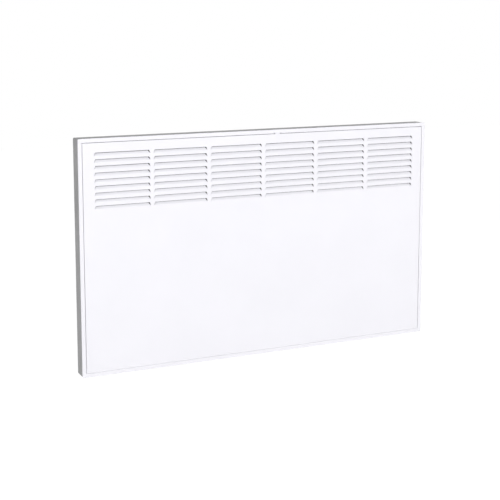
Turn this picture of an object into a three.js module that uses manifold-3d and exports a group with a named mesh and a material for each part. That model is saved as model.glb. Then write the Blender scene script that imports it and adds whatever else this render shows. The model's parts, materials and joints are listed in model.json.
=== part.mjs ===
// A wall-hung convector heater. A white steel front with pressed louvres stands on a grey casing
// ring, a pan closes the back, and the whole heater lifts off a steel bracket on the wall.
// Millimetres, +Z up. The wall is the plane Y = 0, the front faces -Y, and the origin is the middle
// of the bracket's back. Inside the heater every piece is placed from the middle of the front face,
// with Y measured backwards from that face.

import * as THREE from 'three';
import { mergeGeometries, mergeVertices } from 'three/addons/utils/BufferGeometryUtils.js';
import Module from 'manifold-3d';

const wasm = await Module();
wasm.setup();

// ---------------------------------------------------------------- driving dimensions

// Whole heater
const heaterWidth = 750;
const heaterHeight = 450;
const bodyDepth = 66; // front face to the flat of the back
const casingDepth = 31; // front face to the rear of the casing ring
const casingSetIn = 0.3; // casing wall, in from the edge of the front
const sheet = 1; // folded steel
const thinSheet = 0.7; // air guides
const fitGap = 0.3; // between pieces that seat on each other
const cornerRadius = 3;
const panelRadius = 1;

// Front border and front panel
const borderWidth = 7.5;
const borderSheet = 1.2;
const returnDepth = 6; // folded edges, back from the face
const shadowGap = 0.9; // between border and panel, but for the lower edge, where the panel stands on it
const borderTab = { width: 16, reach: 17, fromSide: 40 }; // screw tabs of the lower edge
const stiffener = { height: 34, rise: 6, brim: 8, endRoom: 70, belowMiddle: 75 };

// Pressed louvres
const louvreRows = 9;
const louvreHeight = 6;
const louvreBaseWidth = 110;
const louvreSlant = 2.5; // each end of an opening leans in by this much at its top
const louvreRowLand = 6.4; // plain sheet between two openings, one above the other
const louvreColumnLand = 6; // and side by side, at their bases
const louvreTilt = 35; // degrees, inwards about the base
const louvreBaseGap = 0.4; // cut away at each end of a blade, at its base
const louvreTipGap = 1.7; // and at its tip
const louvreBend = 1.2; // outer radius of the bend
const louvreFieldDrop = 26.5; // top edge of the heater to the top of the first opening
const louvreSideMargin = 15; // least plain sheet beside the field

// Clips between border and panel, and the catch that shows in the upper shadow gap
const clipLength = 22;
const clipWall = 1;
const clipReach = 4; // outer tines, forwards from the back of the clip
const clipNose = 3.5; // middle tine's end, behind the face
const catchLength = 11.5;
const catchOffset = 30.5; // right of the middle
const catchSetBack = 0.2; // behind the face
const catchRelief = { width: 2, rise: 1.2 }; // cut from the border at each end of the catch

// Back pan
const panSetInX = 22;
const panSetInZ = 14;
const panRadius = 6;
const panEdgeRoom = 2.4; // pan flange to the casing wall
const panFit = 0.4; // pan in the casing's rear opening
const swage = { height: 26, rise: 2, endRoom: 22, share: 0.42 }; // share: middle of the pan to its edge
const cheekScrewFromEnd = 20;

// Air inlets underneath
const inletSlot = { width: 10, length: 24, pitch: 24, endRoom: 12 };
const grilleSlot = { width: 9, pitch: 15, length: 14 };
const grilleWindow = 17; // depth of the casing's lower window
const grilleFront = 10.5; // front face to that window
const grilleThickness = 1.6;
const grilleLap = 2; // grille beyond its window on each side

// Air duct
const sideBay = 75; // heater's side to the duct cheek
const cheekBottomRise = 30;
const cheekTopRise = 237;
const cheekFrontRoom = 3; // cheek's front edge behind the face
const cheekFlange = 13;
const leadRise = 65; // long lead behind the shield, above the heater's lower edge
const leadNotch = { height: 12, depth: 8 };
const shieldStandOff = 6.5;
const shieldFoot = 10;
const deflectorFoot = 18;
const deflectorFootRise = 268; // upper edge of the foot above the heater's lower edge
const deflectorFront = 14; // deflector's top, behind the face
const deflectorTopDrop = 14;
const deflectorLip = 10;
const deflectorSideRoom = 4;

// Heating element: an extruded body of four slit wings on a tubular heater
const elementRise = 115;
const elementBehindFace = 34;
const elementHub = 8;
const elementWingReach = 26;
const wingRoot = 5;
const wingTip = 2.4;
const slitPitch = 24;
const slitWidth = 5;
const slitInner = 12;
const elementEndRoom = 14; // finned body to the cheek
const journalRadius = 5;
const journalOutside = 10; // journal beyond the cheek
const runningGap = 0.4;
const bush = { barrel: 9.6, flange: 13, flangeThickness: 3, inside: 8 };
const pin = { radius: 2, length: 7 };
const tab = { width: 6.3, thickness: 0.8, length: 6.5 };

// Leads and the sleeves that push on to the tabs
const leadRadius = 1.3;
const leadTurn = 4; // room that a lead takes to turn
const sleeve = { width: 8, thickness: 4, length: 9.5 };

// Controls on the right wall of the back pan
const controlBehindFace = 48;
const fascia = { width: 30, height: 108, thickness: 2.2, radius: 4, rise: 113 };
const knobFromTop = 27; // below the fascia's upper end
const knob = { skirt: 11.2, grip: 9.4, skirtHeight: 3, gripHeight: 10, flutes: 12, fluteDepth: 0.9 };
const spindle = { radius: 3, inside: 9, inKnob: 8 };
const thermostat = { width: 27, height: 27, depth: 24, tabSpread: 13 };
const switchFromBottom = 26; // above the fascia's lower end
const rocker = { width: 10.4, half: 8.2, crown: 6.4, dip: 4.6, side: 7.6, keel: 4.2 };
const rockerSideGap = 0.5;
const rockerEndGap = 1.4;
const rockerTilt = 8; // degrees, off at rest
const switchWall = 1.4;
const pocketDepth = 10;
const switchBody = { depth: 21, bezel: 1.6, bezelLap: 1.5, holeGap: 0.4, tabSpread: 13 };
const pivot = { radius: 1.2, reach: 0.7, inset: 4.8 };

// Thermal cut-out in the right cheek
const cutoutRise = 185;
const cutout = { radius: 7.9, flange: 12, flangeThickness: 1, cap: 8, body: 8, tabSpread: 10 };

// Terminal block, cord gland, earth point, room sensor
const block = { width: 28, depth: 16, height: 20, ways: 3, wayPitch: 9, rise: 49, fromSide: 41 };
const gland = { thread: 8, bore: 4.2, across: 20, hex: 4.5, dome: 8, inside: 9, fromSide: 41, behind: 50 };
const glandNut = { across: 22, height: 4 };
const earth = { fromCheek: 18, rise: 105, lug: 5, lugThickness: 1, screwLength: 5 };
const bulb = { radius: 3, length: 36, rise: 25, behind: 34, fromCheek: 4, capillary: 0.8 };
const bulbClip = { length: 8, wall: 0.9, foot: 8 };
const leadClip = { length: 6, wall: 1, count: 3, pitch: 200 };

// Screws
const screw = { shank: 1.7, hole: 2.1, head: 3.6, headHeight: 2.2, length: 8 };
const rearScrewsAcross = 3;
const rearScrewRoom = 60; // outermost rear screw to the pan's side

// Rubber pads that keep the lower edge off the wall
const pad = { radius: 9, fromSide: 40, rise: 40 };

// Wall bracket
const bracketReach = 14; // wall to the heater's back, less the fit gap
const bracketSheet = 1.5;
const bracketHeight = 300;
const bracketSpread = 300; // between the webs
const bracketFoot = 28;
const bracketBar = 60;
const bracketLip = 6.5;
const bracketHole = 3.3;
const hook = { tab: 4, rise: 10, thickness: 3, fromEnd: 17 };
const hookSideRoom = 1.5;
const liftTravel = 14;
const slotRoom = 2;

// ---------------------------------------------------------------- derived places

const halfWidth = heaterWidth / 2;
const halfHeight = heaterHeight / 2;
const panelSetIn = borderWidth + shadowGap;
const panelDrop = (shadowGap - fitGap) / 2; // the panel's middle, below the heater's
const panelHalfWidth = halfWidth - panelSetIn;
const panelHalfHeight = halfHeight - panelSetIn + panelDrop;
const casingFront = borderSheet + fitGap;
const casingInner = casingSetIn + sheet;
const casingInnerHalfWidth = halfWidth - casingInner;
const casingInnerHalfHeight = halfHeight - casingInner;
const backInner = bodyDepth - sheet;
const panFront = casingDepth - 2 * sheet - fitGap;
const panHalfWidth = halfWidth - panSetInX;
const panHalfHeight = halfHeight - panSetInZ;
const panWallInner = panHalfWidth - sheet;
const flangeHalfWidth = casingInnerHalfWidth - panEdgeRoom;
const flangeHalfHeight = casingInnerHalfHeight - panEdgeRoom;
const cheekX = halfWidth - sideBay;
const cheekOuter = cheekX + sheet;
const elementZ = elementRise - halfHeight;
const controlOuter = panHalfWidth + fitGap + fascia.thickness;
const louvreRowPitch = louvreHeight + louvreRowLand;
const louvreColumnPitch = louvreBaseWidth + louvreColumnLand;
const swageZ = panHalfHeight * swage.share;
const fasciaZ = fascia.rise - halfHeight;
const knobZ = fasciaZ + fascia.height / 2 - knobFromTop;
const switchZ = fasciaZ - fascia.height / 2 + switchFromBottom;
const cutoutZ = cutoutRise - halfHeight;
const blockX = halfWidth - block.fromSide;
const blockTop = block.rise - halfHeight + block.height / 2;
const glandX = halfWidth - gland.fromSide;
const earthPoint = new THREE.Vector3(cheekOuter + earth.fromCheek, backInner, earth.rise - halfHeight);
const bulbZ = bulb.rise - halfHeight;
const tabFromCentre = cheekOuter + journalOutside + pin.length + tab.length;
const cutoutTabEnd = cheekOuter + fitGap + cutout.flangeThickness + cutout.body + tab.length;
const leadBehindShield = backInner - shieldStandOff / 2;
const blockBehind = backInner - fitGap - block.depth / 2;
const knobBase = controlOuter + 2 * fitGap;
const switchPocketWidth = rocker.width + 2 * rockerSideGap;
const switchPocketHeight = 2 * (rocker.half + rockerEndGap);
const switchWidth = switchPocketWidth + 2 * switchWall;
const switchHeight = switchPocketHeight + 2 * switchWall;
const switchFace = controlOuter + fitGap + switchBody.bezel;
const switchInner = switchFace - switchBody.depth;
const thermostatInner = panWallInner - fitGap - thermostat.depth;
const hookFront = bracketReach + sheet + 2 * fitGap + hook.thickness;
const hookTops = [bracketHeight / 2 - hook.fromEnd, hook.fromEnd + hook.tab - bracketHeight / 2];

// ---------------------------------------------------------------- shapes and solids

const radians = THREE.MathUtils.degToRad;

// A position-only copy, so that pieces of different making can be put in one geometry
function bare(geometry) {
  const loose = geometry.index ? geometry.toNonIndexed() : geometry;
  const plain = new THREE.BufferGeometry();
  plain.setAttribute('position', loose.getAttribute('position').clone());
  return plain;
}

// Separate bodies in one geometry
function together(geometries) {
  return mergeGeometries(geometries.map(bare));
}

function toSolid(geometry) {
  const welded = mergeVertices(bare(geometry), 1e-4);
  const corners = welded.index.array;
  const faces = [];
  for (let i = 0; i < corners.length; i += 3) {
    const [a, b, c] = [corners[i], corners[i + 1], corners[i + 2]];
    if (a !== b && b !== c && c !== a) faces.push(a, b, c);
  }
  return new wasm.Manifold(new wasm.Mesh({
    numProp: 3,
    vertProperties: welded.getAttribute('position').array,
    triVerts: Uint32Array.from(faces),
  }));
}

function toGeometry(solid) {
  const mesh = solid.getMesh();
  const geometry = new THREE.BufferGeometry();
  geometry.setAttribute('position', new THREE.BufferAttribute(mesh.vertProperties, 3));
  geometry.setIndex(new THREE.BufferAttribute(mesh.triVerts, 1));
  geometry.computeVertexNormals();
  return geometry;
}

function join(first, ...others) {
  let solid = toSolid(first);
  for (const other of others) solid = solid.add(toSolid(other));
  return toGeometry(solid);
}

function cut(first, ...cutters) {
  let solid = toSolid(first);
  for (const cutter of cutters) solid = solid.subtract(toSolid(cutter));
  return toGeometry(solid);
}

function box(x0, x1, y0, y1, z0, z1) {
  const geometry = new THREE.BoxGeometry(Math.abs(x1 - x0), Math.abs(y1 - y0), Math.abs(z1 - z0));
  return geometry.translate((x0 + x1) / 2, (y0 + y1) / 2, (z0 + z1) / 2);
}

function outline(points) {
  return new THREE.Shape(points.map(([a, b]) => new THREE.Vector2(a, b)));
}

function roundedRect(halfW, halfH, radius) {
  const r = Math.max(Math.min(radius, halfW, halfH), 0.2);
  const shape = new THREE.Shape();
  shape.absarc(halfW - r, halfH - r, r, 0, Math.PI / 2);
  shape.absarc(r - halfW, halfH - r, r, Math.PI / 2, Math.PI);
  shape.absarc(r - halfW, r - halfH, r, Math.PI, 1.5 * Math.PI);
  shape.absarc(halfW - r, r - halfH, r, 1.5 * Math.PI, 2 * Math.PI);
  return shape;
}

const extrusion = (depth) => ({ depth, curveSegments: 2, bevelEnabled: false });

// A shape drawn in X and Z, carried backwards along Y from `front`
function slab(shape, front, depth) {
  const geometry = new THREE.ExtrudeGeometry(shape, extrusion(depth));
  return geometry.rotateX(Math.PI / 2).translate(0, front + depth, 0);
}

// A shape drawn in Y and Z, carried along X from `start`
function bar(shape, start, length) {
  const geometry = new THREE.ExtrudeGeometry(shape, extrusion(length));
  const turn = new THREE.Matrix4().makeBasis(
    new THREE.Vector3(0, 1, 0), new THREE.Vector3(0, 0, 1), new THREE.Vector3(1, 0, 0));
  return geometry.applyMatrix4(turn).translate(start, 0, 0);
}

// A shape drawn in X and Y, carried up along Z from `bottom`
function post(shape, bottom, height) {
  return new THREE.ExtrudeGeometry(shape, extrusion(height)).translate(0, 0, bottom);
}

// A ring of rectangular outline, whose two edges are set in from the heater's edge
function edgeRing(outer, inner, front, depth, outerRadius, innerRadius) {
  const ring = roundedRect(halfWidth - outer, halfHeight - outer, outerRadius);
  ring.holes.push(roundedRect(halfWidth - inner, halfHeight - inner, innerRadius));
  return slab(ring, front, depth);
}

// A profile of [radius, height] points turned about Y, X or Z
function turned(profile, segments, axis) {
  const points = profile.map(([r, h]) => new THREE.Vector2(r, h));
  const geometry = new THREE.LatheGeometry(points, segments);
  if (axis === 'X') geometry.rotateZ(-Math.PI / 2);
  if (axis === 'Z') geometry.rotateX(Math.PI / 2);
  return geometry;
}

function rod(radius, start, end, axis, segments = 8) {
  return turned([[0, start], [radius, start], [radius, end], [0, end]], segments, axis);
}

function polygon(radius, sides) {
  const points = [];
  for (let i = 0; i < sides; i += 1) {
    const angle = (2 * Math.PI * (i + 0.5)) / sides;
    points.push([radius * Math.cos(angle), radius * Math.sin(angle)]);
  }
  return outline(points);
}

// A smooth route whose steps follow its chosen points, so that a long straight run takes few
class Route extends THREE.CatmullRomCurve3 {
  constructor(points) {
    super(points.map((point) => new THREE.Vector3(...point)), false, 'centripetal');
  }

  getPointAt(u, target) {
    return this.getPoint(u, target);
  }

  getTangentAt(u, target) {
    return this.getTangent(u, target);
  }
}

function tube(points, radius, stepsEach = 2) {
  const settings = { steps: stepsEach * (points.length - 1), bevelEnabled: false };
  return new THREE.ExtrudeGeometry(polygon(radius, 8), { ...settings, extrudePath: new Route(points) });
}

// The outline of a bent sheet whose one face follows `points`, in Y and Z
function bentSheet(points, thickness) {
  const line = points.map(([y, z]) => new THREE.Vector2(y, z));
  const offset = line.map((point, i) => {
    const before = i > 0 ? point.clone().sub(line[i - 1]).normalize() : null;
    const after = i < line.length - 1 ? line[i + 1].clone().sub(point).normalize() : null;
    const along = (before && after ? before.clone().add(after) : before || after).normalize();
    const side = new THREE.Vector2(-along.y, along.x);
    const stretch = before && after ? along.dot(after) : 1;
    return point.clone().addScaledVector(side, thickness / stretch);
  });
  return new THREE.Shape([...line, ...offset.reverse()]);
}

// Evenly spaced places, centred on zero
function spread(count, pitch) {
  return Array.from({ length: count }, (_, i) => (i - (count - 1) / 2) * pitch);
}

// A pan-head screw with its head's seat at the origin, pointing along +Y
function screwBody(length) {
  const { shank, head, headHeight } = screw;
  return turned([
    [0, length], [shank, length - 1.5], [shank, -fitGap],
    [head, -fitGap], [head * 0.8, -headHeight * 0.9], [0, -headHeight],
  ].reverse(), 8, 'Y');
}

function finish(color, roughness, metalness) {
  return new THREE.MeshStandardMaterial({ color, roughness, metalness });
}

const whitePaint = () => finish(0xf6f5f8, 0.42, 0);
const greyPaint = () => finish(0xa9a9ab, 0.5, 0);
const galvanised = () => finish(0xa7abae, 0.45, 0.85);
const aluminised = () => finish(0xb9bcbe, 0.35, 0.9);
const darkCoat = () => finish(0x2e2f31, 0.7, 0);
const castAluminium = () => finish(0xa2a4a6, 0.5, 0.85);
const ceramic = () => finish(0xe6e1d6, 0.6, 0);
const darkPlastic = () => finish(0x2b2c2e, 0.55, 0);
const whitePlastic = () => finish(0xeceae4, 0.4, 0);
const zincPlate = () => finish(0xb4b6b2, 0.35, 0.9);
const blackRubber = () => finish(0x232323, 0.8, 0);
const copper = () => finish(0xb87945, 0.35, 0.9);

function piece(name, geometry, material, place = [0, 0, 0], turn = [0, 0, 0]) {
  const mesh = new THREE.Mesh(geometry, material);
  mesh.name = name;
  mesh.position.set(...place);
  mesh.rotation.set(...turn);
  return mesh;
}

// ---------------------------------------------------------------- front

function borderTabPlaces() {
  return [-1, 1].map((side) => side * (halfWidth - borderTab.fromSide));
}

// A channel-section ring: face, outer skirt that plugs into the casing, inner lip beside the panel
function frontBorder() {
  const root = borderSheet / 2;
  const skirtOuter = casingInner + fitGap;
  const skirtRadius = cornerRadius - skirtOuter;
  const face = edgeRing(0, borderWidth, 0, borderSheet, cornerRadius, panelRadius);
  const skirt = edgeRing(
    skirtOuter, skirtOuter + sheet, root, returnDepth - root, skirtRadius, skirtRadius - sheet);
  const lip = edgeRing(
    borderWidth - sheet, borderWidth, root, returnDepth - root, panelRadius + sheet, panelRadius);
  const low = skirtOuter - halfHeight;
  const tabs = borderTabPlaces().map((x) => box(
    x - borderTab.width / 2, x + borderTab.width / 2, root, borderTab.reach, low, low + sheet));
  const holes = borderTabPlaces().map((x) => rod(screw.hole, low - 2, low + 4, 'Z')
    .translate(x, frontScrewDepth(), 0));
  const edge = halfHeight - borderWidth;
  const reliefs = spread(2, catchLength + catchRelief.width).map((x) => box(
    -catchRelief.width / 2, catchRelief.width / 2, -1, returnDepth + 1, edge - 1, edge + catchRelief.rise)
    .translate(catchOffset + x, 0, 0));
  return cut(join(face, skirt, lip, ...tabs), together([...holes, ...reliefs]));
}

function frontScrewDepth() {
  return borderTab.reach - borderTab.width / 3;
}

function louvreColumns() {
  const room = heaterWidth - 2 * panelSetIn - 2 * louvreSideMargin - louvreBaseWidth;
  return Math.floor(room / louvreColumnPitch) + 1;
}

// The tangent length of a blade's bend
const bendLength = louvreBend * Math.tan(radians(louvreTilt) / 2);

// One blade, bent inwards about the lower edge of its opening, with the ends cut on a slant
function louvreBlade() {
  const tilt = radians(louvreTilt);
  const onBend = (radius, angle) => [
    louvreBend - radius * Math.cos(angle), radius * Math.sin(angle) - bendLength];
  const along = [Math.sin(tilt), Math.cos(tilt)];
  const tip = [louvreHeight * along[0], louvreHeight * along[1]];
  const innerBend = Math.max(louvreBend - sheet, 0.05);
  const rootDepth = bendLength + 0.7 * sheet;
  const profile = outline([
    onBend(louvreBend, 0), onBend(louvreBend, tilt / 2), onBend(louvreBend, tilt),
    tip, [tip[0] + sheet * along[1], tip[1] - sheet * along[0]],
    onBend(innerBend, tilt), [sheet, -bendLength],
    [0.75 * sheet, -rootDepth], [0.25 * sheet, -rootDepth],
  ]);
  const half = louvreBaseWidth / 2 - louvreBaseGap;
  const blade = bar(profile, -half, 2 * half);
  const narrowing = louvreSlant + louvreTipGap - louvreBaseGap;
  const places = blade.getAttribute('position');
  for (let i = 0; i < places.count; i += 1) {
    const climb = THREE.MathUtils.clamp(places.getZ(i) / tip[1], 0, 1);
    places.setX(i, Math.sign(places.getX(i)) * (half - narrowing * climb));
  }
  return blade;
}

function louvreOpening() {
  const low = louvreBaseWidth / 2;
  const high = low - louvreSlant;
  const shape = outline([
    [-low, -bendLength], [low, -bendLength], [high, louvreHeight], [-high, louvreHeight]]);
  return slab(shape, -1, sheet + 2);
}

// The lower edge of each opening, over the whole field
function louvrePlaces() {
  const places = [];
  for (let row = 0; row < louvreRows; row += 1) {
    const z = halfHeight - louvreFieldDrop - louvreHeight - row * louvreRowPitch;
    for (const x of spread(louvreColumns(), louvreColumnPitch)) places.push([x, z]);
  }
  return places;
}

// A shallow pan of sheet with its edges folded back and a field of pressed louvres
function frontPanel() {
  const root = sheet / 2;
  const rim = (setIn) => roundedRect(panelHalfWidth - setIn, panelHalfHeight - setIn, panelRadius - setIn);
  const folded = rim(0);
  folded.holes.push(rim(sheet));
  const face = slab(rim(0), 0, sheet).translate(0, 0, -panelDrop);
  const edge = slab(folded, root, returnDepth - root).translate(0, 0, -panelDrop);
  const opening = louvreOpening();
  const blade = louvreBlade();
  const openings = louvrePlaces().map(([x, z]) => opening.clone().translate(x, 0, z));
  const blades = louvrePlaces().map(([x, z]) => blade.clone().translate(x, 0, z));
  return join(cut(join(face, edge), together(openings)), together(blades));
}

// A hat section on the back of the plain part of the panel
function panelStiffener() {
  const { height, rise, brim, endRoom, belowMiddle } = stiffener;
  const half = height / 2;
  const profile = bentSheet([
    [0, half], [0, half - brim], [rise, half - brim - rise / 2],
    [rise, brim + rise / 2 - half], [0, brim - half], [0, -half],
  ], thinSheet);
  const length = heaterWidth - 2 * (panelSetIn + endRoom);
  return bar(profile, -length / 2, length).translate(0, sheet + fitGap, -belowMiddle);
}

// A clip over the border's lip and the panel's folded edge, for the upper side of the heater. Where
// they stand apart by `gap`, a middle tine fills it and ends `nose` behind the face.
function clipAtTop(length, nose, gap = shadowGap) {
  const back = returnDepth + fitGap;
  const lipInner = borderWidth - sheet - fitGap;
  const gapStart = borderWidth + fitGap;
  const gapEnd = borderWidth + gap - fitGap;
  const edgeInner = borderWidth + gap + sheet + fitGap;
  const tine = gapEnd > gapStart
    ? [[back, -gapStart], [nose, -gapStart], [nose, -gapEnd], [back, -gapEnd]]
    : [];
  const profile = outline([
    [back + clipWall, clipWall - lipInner], [back - clipReach, clipWall - lipInner],
    [back - clipReach, -lipInner], [back, -lipInner], ...tine, [back, -edgeInner],
    [back - clipReach, -edgeInner], [back - clipReach, -edgeInner - clipWall],
    [back + clipWall, -edgeInner - clipWall],
  ]);
  return bar(profile, -length / 2, length);
}

// Clips on all four sides, each turned from the upper side's
function panelClips() {
  const clip = clipAtTop(clipLength, clipNose);
  const seated = clipAtTop(clipLength, clipNose, fitGap);
  const aside = heaterWidth / 4;
  return [
    piece('panel_clip_top', clip, zincPlate(), [-aside, 0, halfHeight]),
    piece('panel_clip_bottom_left', seated, zincPlate(), [-aside, 0, -halfHeight], [0, Math.PI, 0]),
    piece('panel_clip_bottom_right', seated, zincPlate(), [aside, 0, -halfHeight], [0, Math.PI, 0]),
    piece('panel_clip_left', clip, zincPlate(), [-halfWidth, 0, 0], [0, -Math.PI / 2, 0]),
    piece('panel_clip_right', clip, zincPlate(), [halfWidth, 0, 0], [0, Math.PI / 2, 0]),
  ];
}

// ---------------------------------------------------------------- casing and back

// Screws that hold the pan to the casing ring, as [x, z]
function rearScrewPlaces() {
  const z = (panHalfHeight + flangeHalfHeight) / 2;
  const pitch = (2 * (panHalfWidth - rearScrewRoom)) / (rearScrewsAcross - 1);
  return spread(rearScrewsAcross, pitch).flatMap((x) => [[x, z], [x, -z]]);
}

function rearScrewHoles() {
  return together(rearScrewPlaces().map(([x, z]) => rod(screw.hole, panFront - 2, casingDepth + 2, 'Y')
    .translate(x, 0, z)));
}

// A folded ring with a flange round its rear opening and an air window underneath
function casingRing() {
  const outer = roundedRect(halfWidth - casingSetIn, halfHeight - casingSetIn, cornerRadius - casingSetIn);
  const inner = roundedRect(casingInnerHalfWidth, casingInnerHalfHeight, cornerRadius - casingInner);
  const rear = roundedRect(panHalfWidth + panFit, panHalfHeight + panFit, panRadius + panFit);
  const shell = slab(outer, casingFront, casingDepth - casingFront);
  const cavity = slab(inner, casingFront - 1, casingDepth - sheet - casingFront + 1);
  const windowHalf = cheekX - grilleLap;
  const low = -halfHeight - 1;
  const air = box(-windowHalf, windowHalf, grilleFront, grilleFront + grilleWindow, low, low + 4);
  const screws = borderTabPlaces().map((x) => rod(screw.hole, low, low + 4, 'Z')
    .translate(x, frontScrewDepth(), 0));
  return cut(shell, cavity, slab(rear, casingDepth - 3, 6), air, together(screws), rearScrewHoles());
}

// The grille that lies over the casing's air window
function inletGrille() {
  const half = cheekX;
  const front = grilleFront - grilleLap;
  const rear = Math.min(grilleFront + grilleWindow + grilleLap, casingDepth - sheet - fitGap);
  const low = -casingInnerHalfHeight + fitGap;
  const plate = box(-half, half, front, rear, low, low + grilleThickness);
  const count = Math.floor((2 * half - 4 * grilleLap - grilleSlot.width) / grilleSlot.pitch) + 1;
  const middle = grilleFront + grilleWindow / 2;
  const slots = spread(count, grilleSlot.pitch).map((x) => box(
    x - grilleSlot.width / 2, x + grilleSlot.width / 2,
    middle - grilleSlot.length / 2, middle + grilleSlot.length / 2, low - 1, low + grilleThickness + 1));
  return cut(plate, together(slots));
}

// Hook slots at both webs and both heights
function hookSlots() {
  const half = bracketSheet / 2 + hookSideRoom;
  const tall = liftTravel + hook.tab + slotRoom;
  return together(hookTops.flatMap((top) => spread(2, bracketSpread).map((x) => box(
    x - half, x + half, backInner - 1, bodyDepth + 1, top - tall, top + fitGap))));
}

// Long swages pressed out of the back between and beside the hooks
function swagePlaces() {
  const inner = bracketSpread / 2 - swage.endRoom;
  const start = bracketSpread / 2 + swage.endRoom;
  const end = panHalfWidth - swage.endRoom;
  return [-1, 1].flatMap((up) => [
    { x: 0, z: up * swageZ, half: inner },
    { x: (start + end) / 2, z: up * swageZ, half: (end - start) / 2 },
    { x: -(start + end) / 2, z: up * swageZ, half: (end - start) / 2 },
  ]);
}

function swageBodies(setIn, front, depth) {
  const half = swage.height / 2 - setIn;
  return together(swagePlaces().map(({ x, z, half: reach }) => slab(
    roundedRect(reach - setIn, half, half), front, depth).translate(x, 0, z)));
}

function inletSlots() {
  const room = cheekX - inletSlot.endRoom;
  const count = Math.floor((2 * room - inletSlot.width) / inletSlot.pitch) + 1;
  const middle = (casingDepth + backInner) / 2;
  const half = inletSlot.length / 2;
  return together(spread(count, inletSlot.pitch).map((x) => box(
    x - inletSlot.width / 2, x + inletSlot.width / 2, middle - half, middle + half,
    -panHalfHeight - 1, -panHalfHeight + sheet + 1)));
}

// Screws through the back into the cheeks' flanges, as [x, z]
function cheekScrewPlaces() {
  const x = cheekOuter + cheekFlange / 2;
  const low = cheekBottomRise + cheekScrewFromEnd - halfHeight;
  const high = cheekTopRise - cheekScrewFromEnd - halfHeight;
  return [[x, low], [x, high], [-x, low], [-x, high]];
}

// Holes through the back for screws and for the earth point
function backHoles() {
  const places = [...cheekScrewPlaces(), [earthPoint.x, earthPoint.z]];
  return together(places.map(([x, z]) => rod(screw.hole, backInner - 1, bodyDepth + 1, 'Y')
    .translate(x, 0, z)));
}

function fasciaScrewHeights() {
  const lower = (knobZ - knob.skirt + switchZ + switchHeight / 2) / 2;
  const upper = (knobZ + knob.skirt + fasciaZ + fascia.height / 2) / 2;
  return [lower, upper];
}

// Openings of the right wall behind the controls, also used for the fascia
function controlHoles(start, end) {
  const halfY = switchWidth / 2 + switchBody.holeGap;
  const halfZ = switchHeight / 2 + switchBody.holeGap;
  const y = controlBehindFace;
  return together([
    rod(spindle.radius + runningGap, start, end, 'X').translate(0, y, knobZ),
    box(start, end, y - halfY, y + halfY, switchZ - halfZ, switchZ + halfZ),
    ...fasciaScrewHeights().map((z) => rod(screw.hole, start, end, 'X').translate(0, y, z)),
  ]);
}

function backPan() {
  const depth = bodyDepth - panFront;
  const outer = slab(roundedRect(panHalfWidth, panHalfHeight, panRadius), panFront, depth);
  const brim = slab(roundedRect(flangeHalfWidth, flangeHalfHeight, panRadius), panFront, sheet);
  const cavity = slab(
    roundedRect(panWallInner, panHalfHeight - sheet, panRadius - sheet), panFront - 1, depth - sheet + 1);
  const raised = swageBodies(0, backInner, sheet + swage.rise);
  const hollow = swageBodies(sheet, backInner - 1, 1 + swage.rise);
  const cordHole = rod(gland.thread + fitGap, -panHalfHeight - 1, -panHalfHeight + sheet + 1, 'Z', 14)
    .translate(glandX, gland.behind, 0);
  return cut(
    join(outer, brim, raised), cavity, hollow, hookSlots(), inletSlots(), backHoles(), cordHole,
    controlHoles(panWallInner - 1, panHalfWidth + 1), rearScrewHoles());
}

// A row of like screws, one node each
function screws(name, places, turn, length = screw.length) {
  return places.map((place, i) => piece(
    `${name}_${i + 1}`, screwBody(length), zincPlate(), place, turn));
}

// Rubber pad between the back and the wall
function wallPad() {
  const reach = bracketReach;
  return turned([
    [0, fitGap], [pad.radius, fitGap], [pad.radius, reach - 1.5], [pad.radius - 1.5, reach], [0, reach],
  ], 12, 'Y');
}

// ---------------------------------------------------------------- air duct

// A side of the duct: it carries the element's end and is screwed to the back by its flange.
// Only the right one has the hole for the cut-out.
function cheek(side) {
  const low = cheekBottomRise - halfHeight;
  const high = cheekTopRise - halfHeight;
  const rear = backInner - fitGap;
  const notchZ = leadRise - halfHeight;
  const halfNotch = leadNotch.height / 2;
  const plate = box(0, side * sheet, cheekFrontRoom, rear, low, high);
  const flange = box(0, side * (sheet + cheekFlange), rear - sheet, rear, low, high);
  const across = (radius, z) => rod(radius, -2 - sheet, 2 + sheet, 'X', 14)
    .translate(0, elementBehindFace, z);
  const holes = [
    across(bush.barrel + fitGap, elementZ),
    box(-side, side * (sheet + cheekFlange + 1), rear - leadNotch.depth, rear + 1,
      notchZ - halfNotch, notchZ + halfNotch),
    ...cheekScrewPlaces().slice(0, 2).map(([x, z]) => rod(screw.hole, rear - 3, rear + 3, 'Y')
      .translate(side * (x - cheekX), 0, z)),
  ];
  if (side > 0) holes.push(across(cutout.radius + fitGap, cutoutZ));
  return cut(join(plate, flange), together(holes));
}

function heatShield() {
  const seat = backInner - fitGap;
  const face = backInner - shieldStandOff;
  const low = cheekBottomRise - halfHeight;
  const high = cheekTopRise - halfHeight;
  const profile = bentSheet([
    [seat, low], [seat, low + shieldFoot], [face, low + 1.6 * shieldFoot],
    [face, high - 1.6 * shieldFoot], [seat, high - shieldFoot], [seat, high],
  ], thinSheet);
  const half = cheekX - fitGap;
  return bar(profile, -half, 2 * half);
}

// A curved sheet that carries the warm air from the back to the louvres
function airDeflector() {
  const seat = backInner - fitGap;
  const foot = deflectorFootRise - halfHeight;
  const top = halfHeight - deflectorTopDrop;
  const lip = casingInnerHalfHeight - fitGap - thinSheet;
  const sweep = new THREE.QuadraticBezierCurve(
    new THREE.Vector2(seat, foot),
    new THREE.Vector2(seat - (seat - deflectorFront) * 0.3, foot + (top - foot) * 0.64),
    new THREE.Vector2(deflectorFront, top));
  const profile = bentSheet([
    [seat, foot - deflectorFoot], ...sweep.getPoints(9).map(({ x, y }) => [x, y]),
    [deflectorFront, lip], [deflectorFront + deflectorLip, lip],
  ], thinSheet);
  const half = panWallInner - deflectorSideRoom;
  return bar(profile, -half, 2 * half);
}

// ---------------------------------------------------------------- heating element

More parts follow.
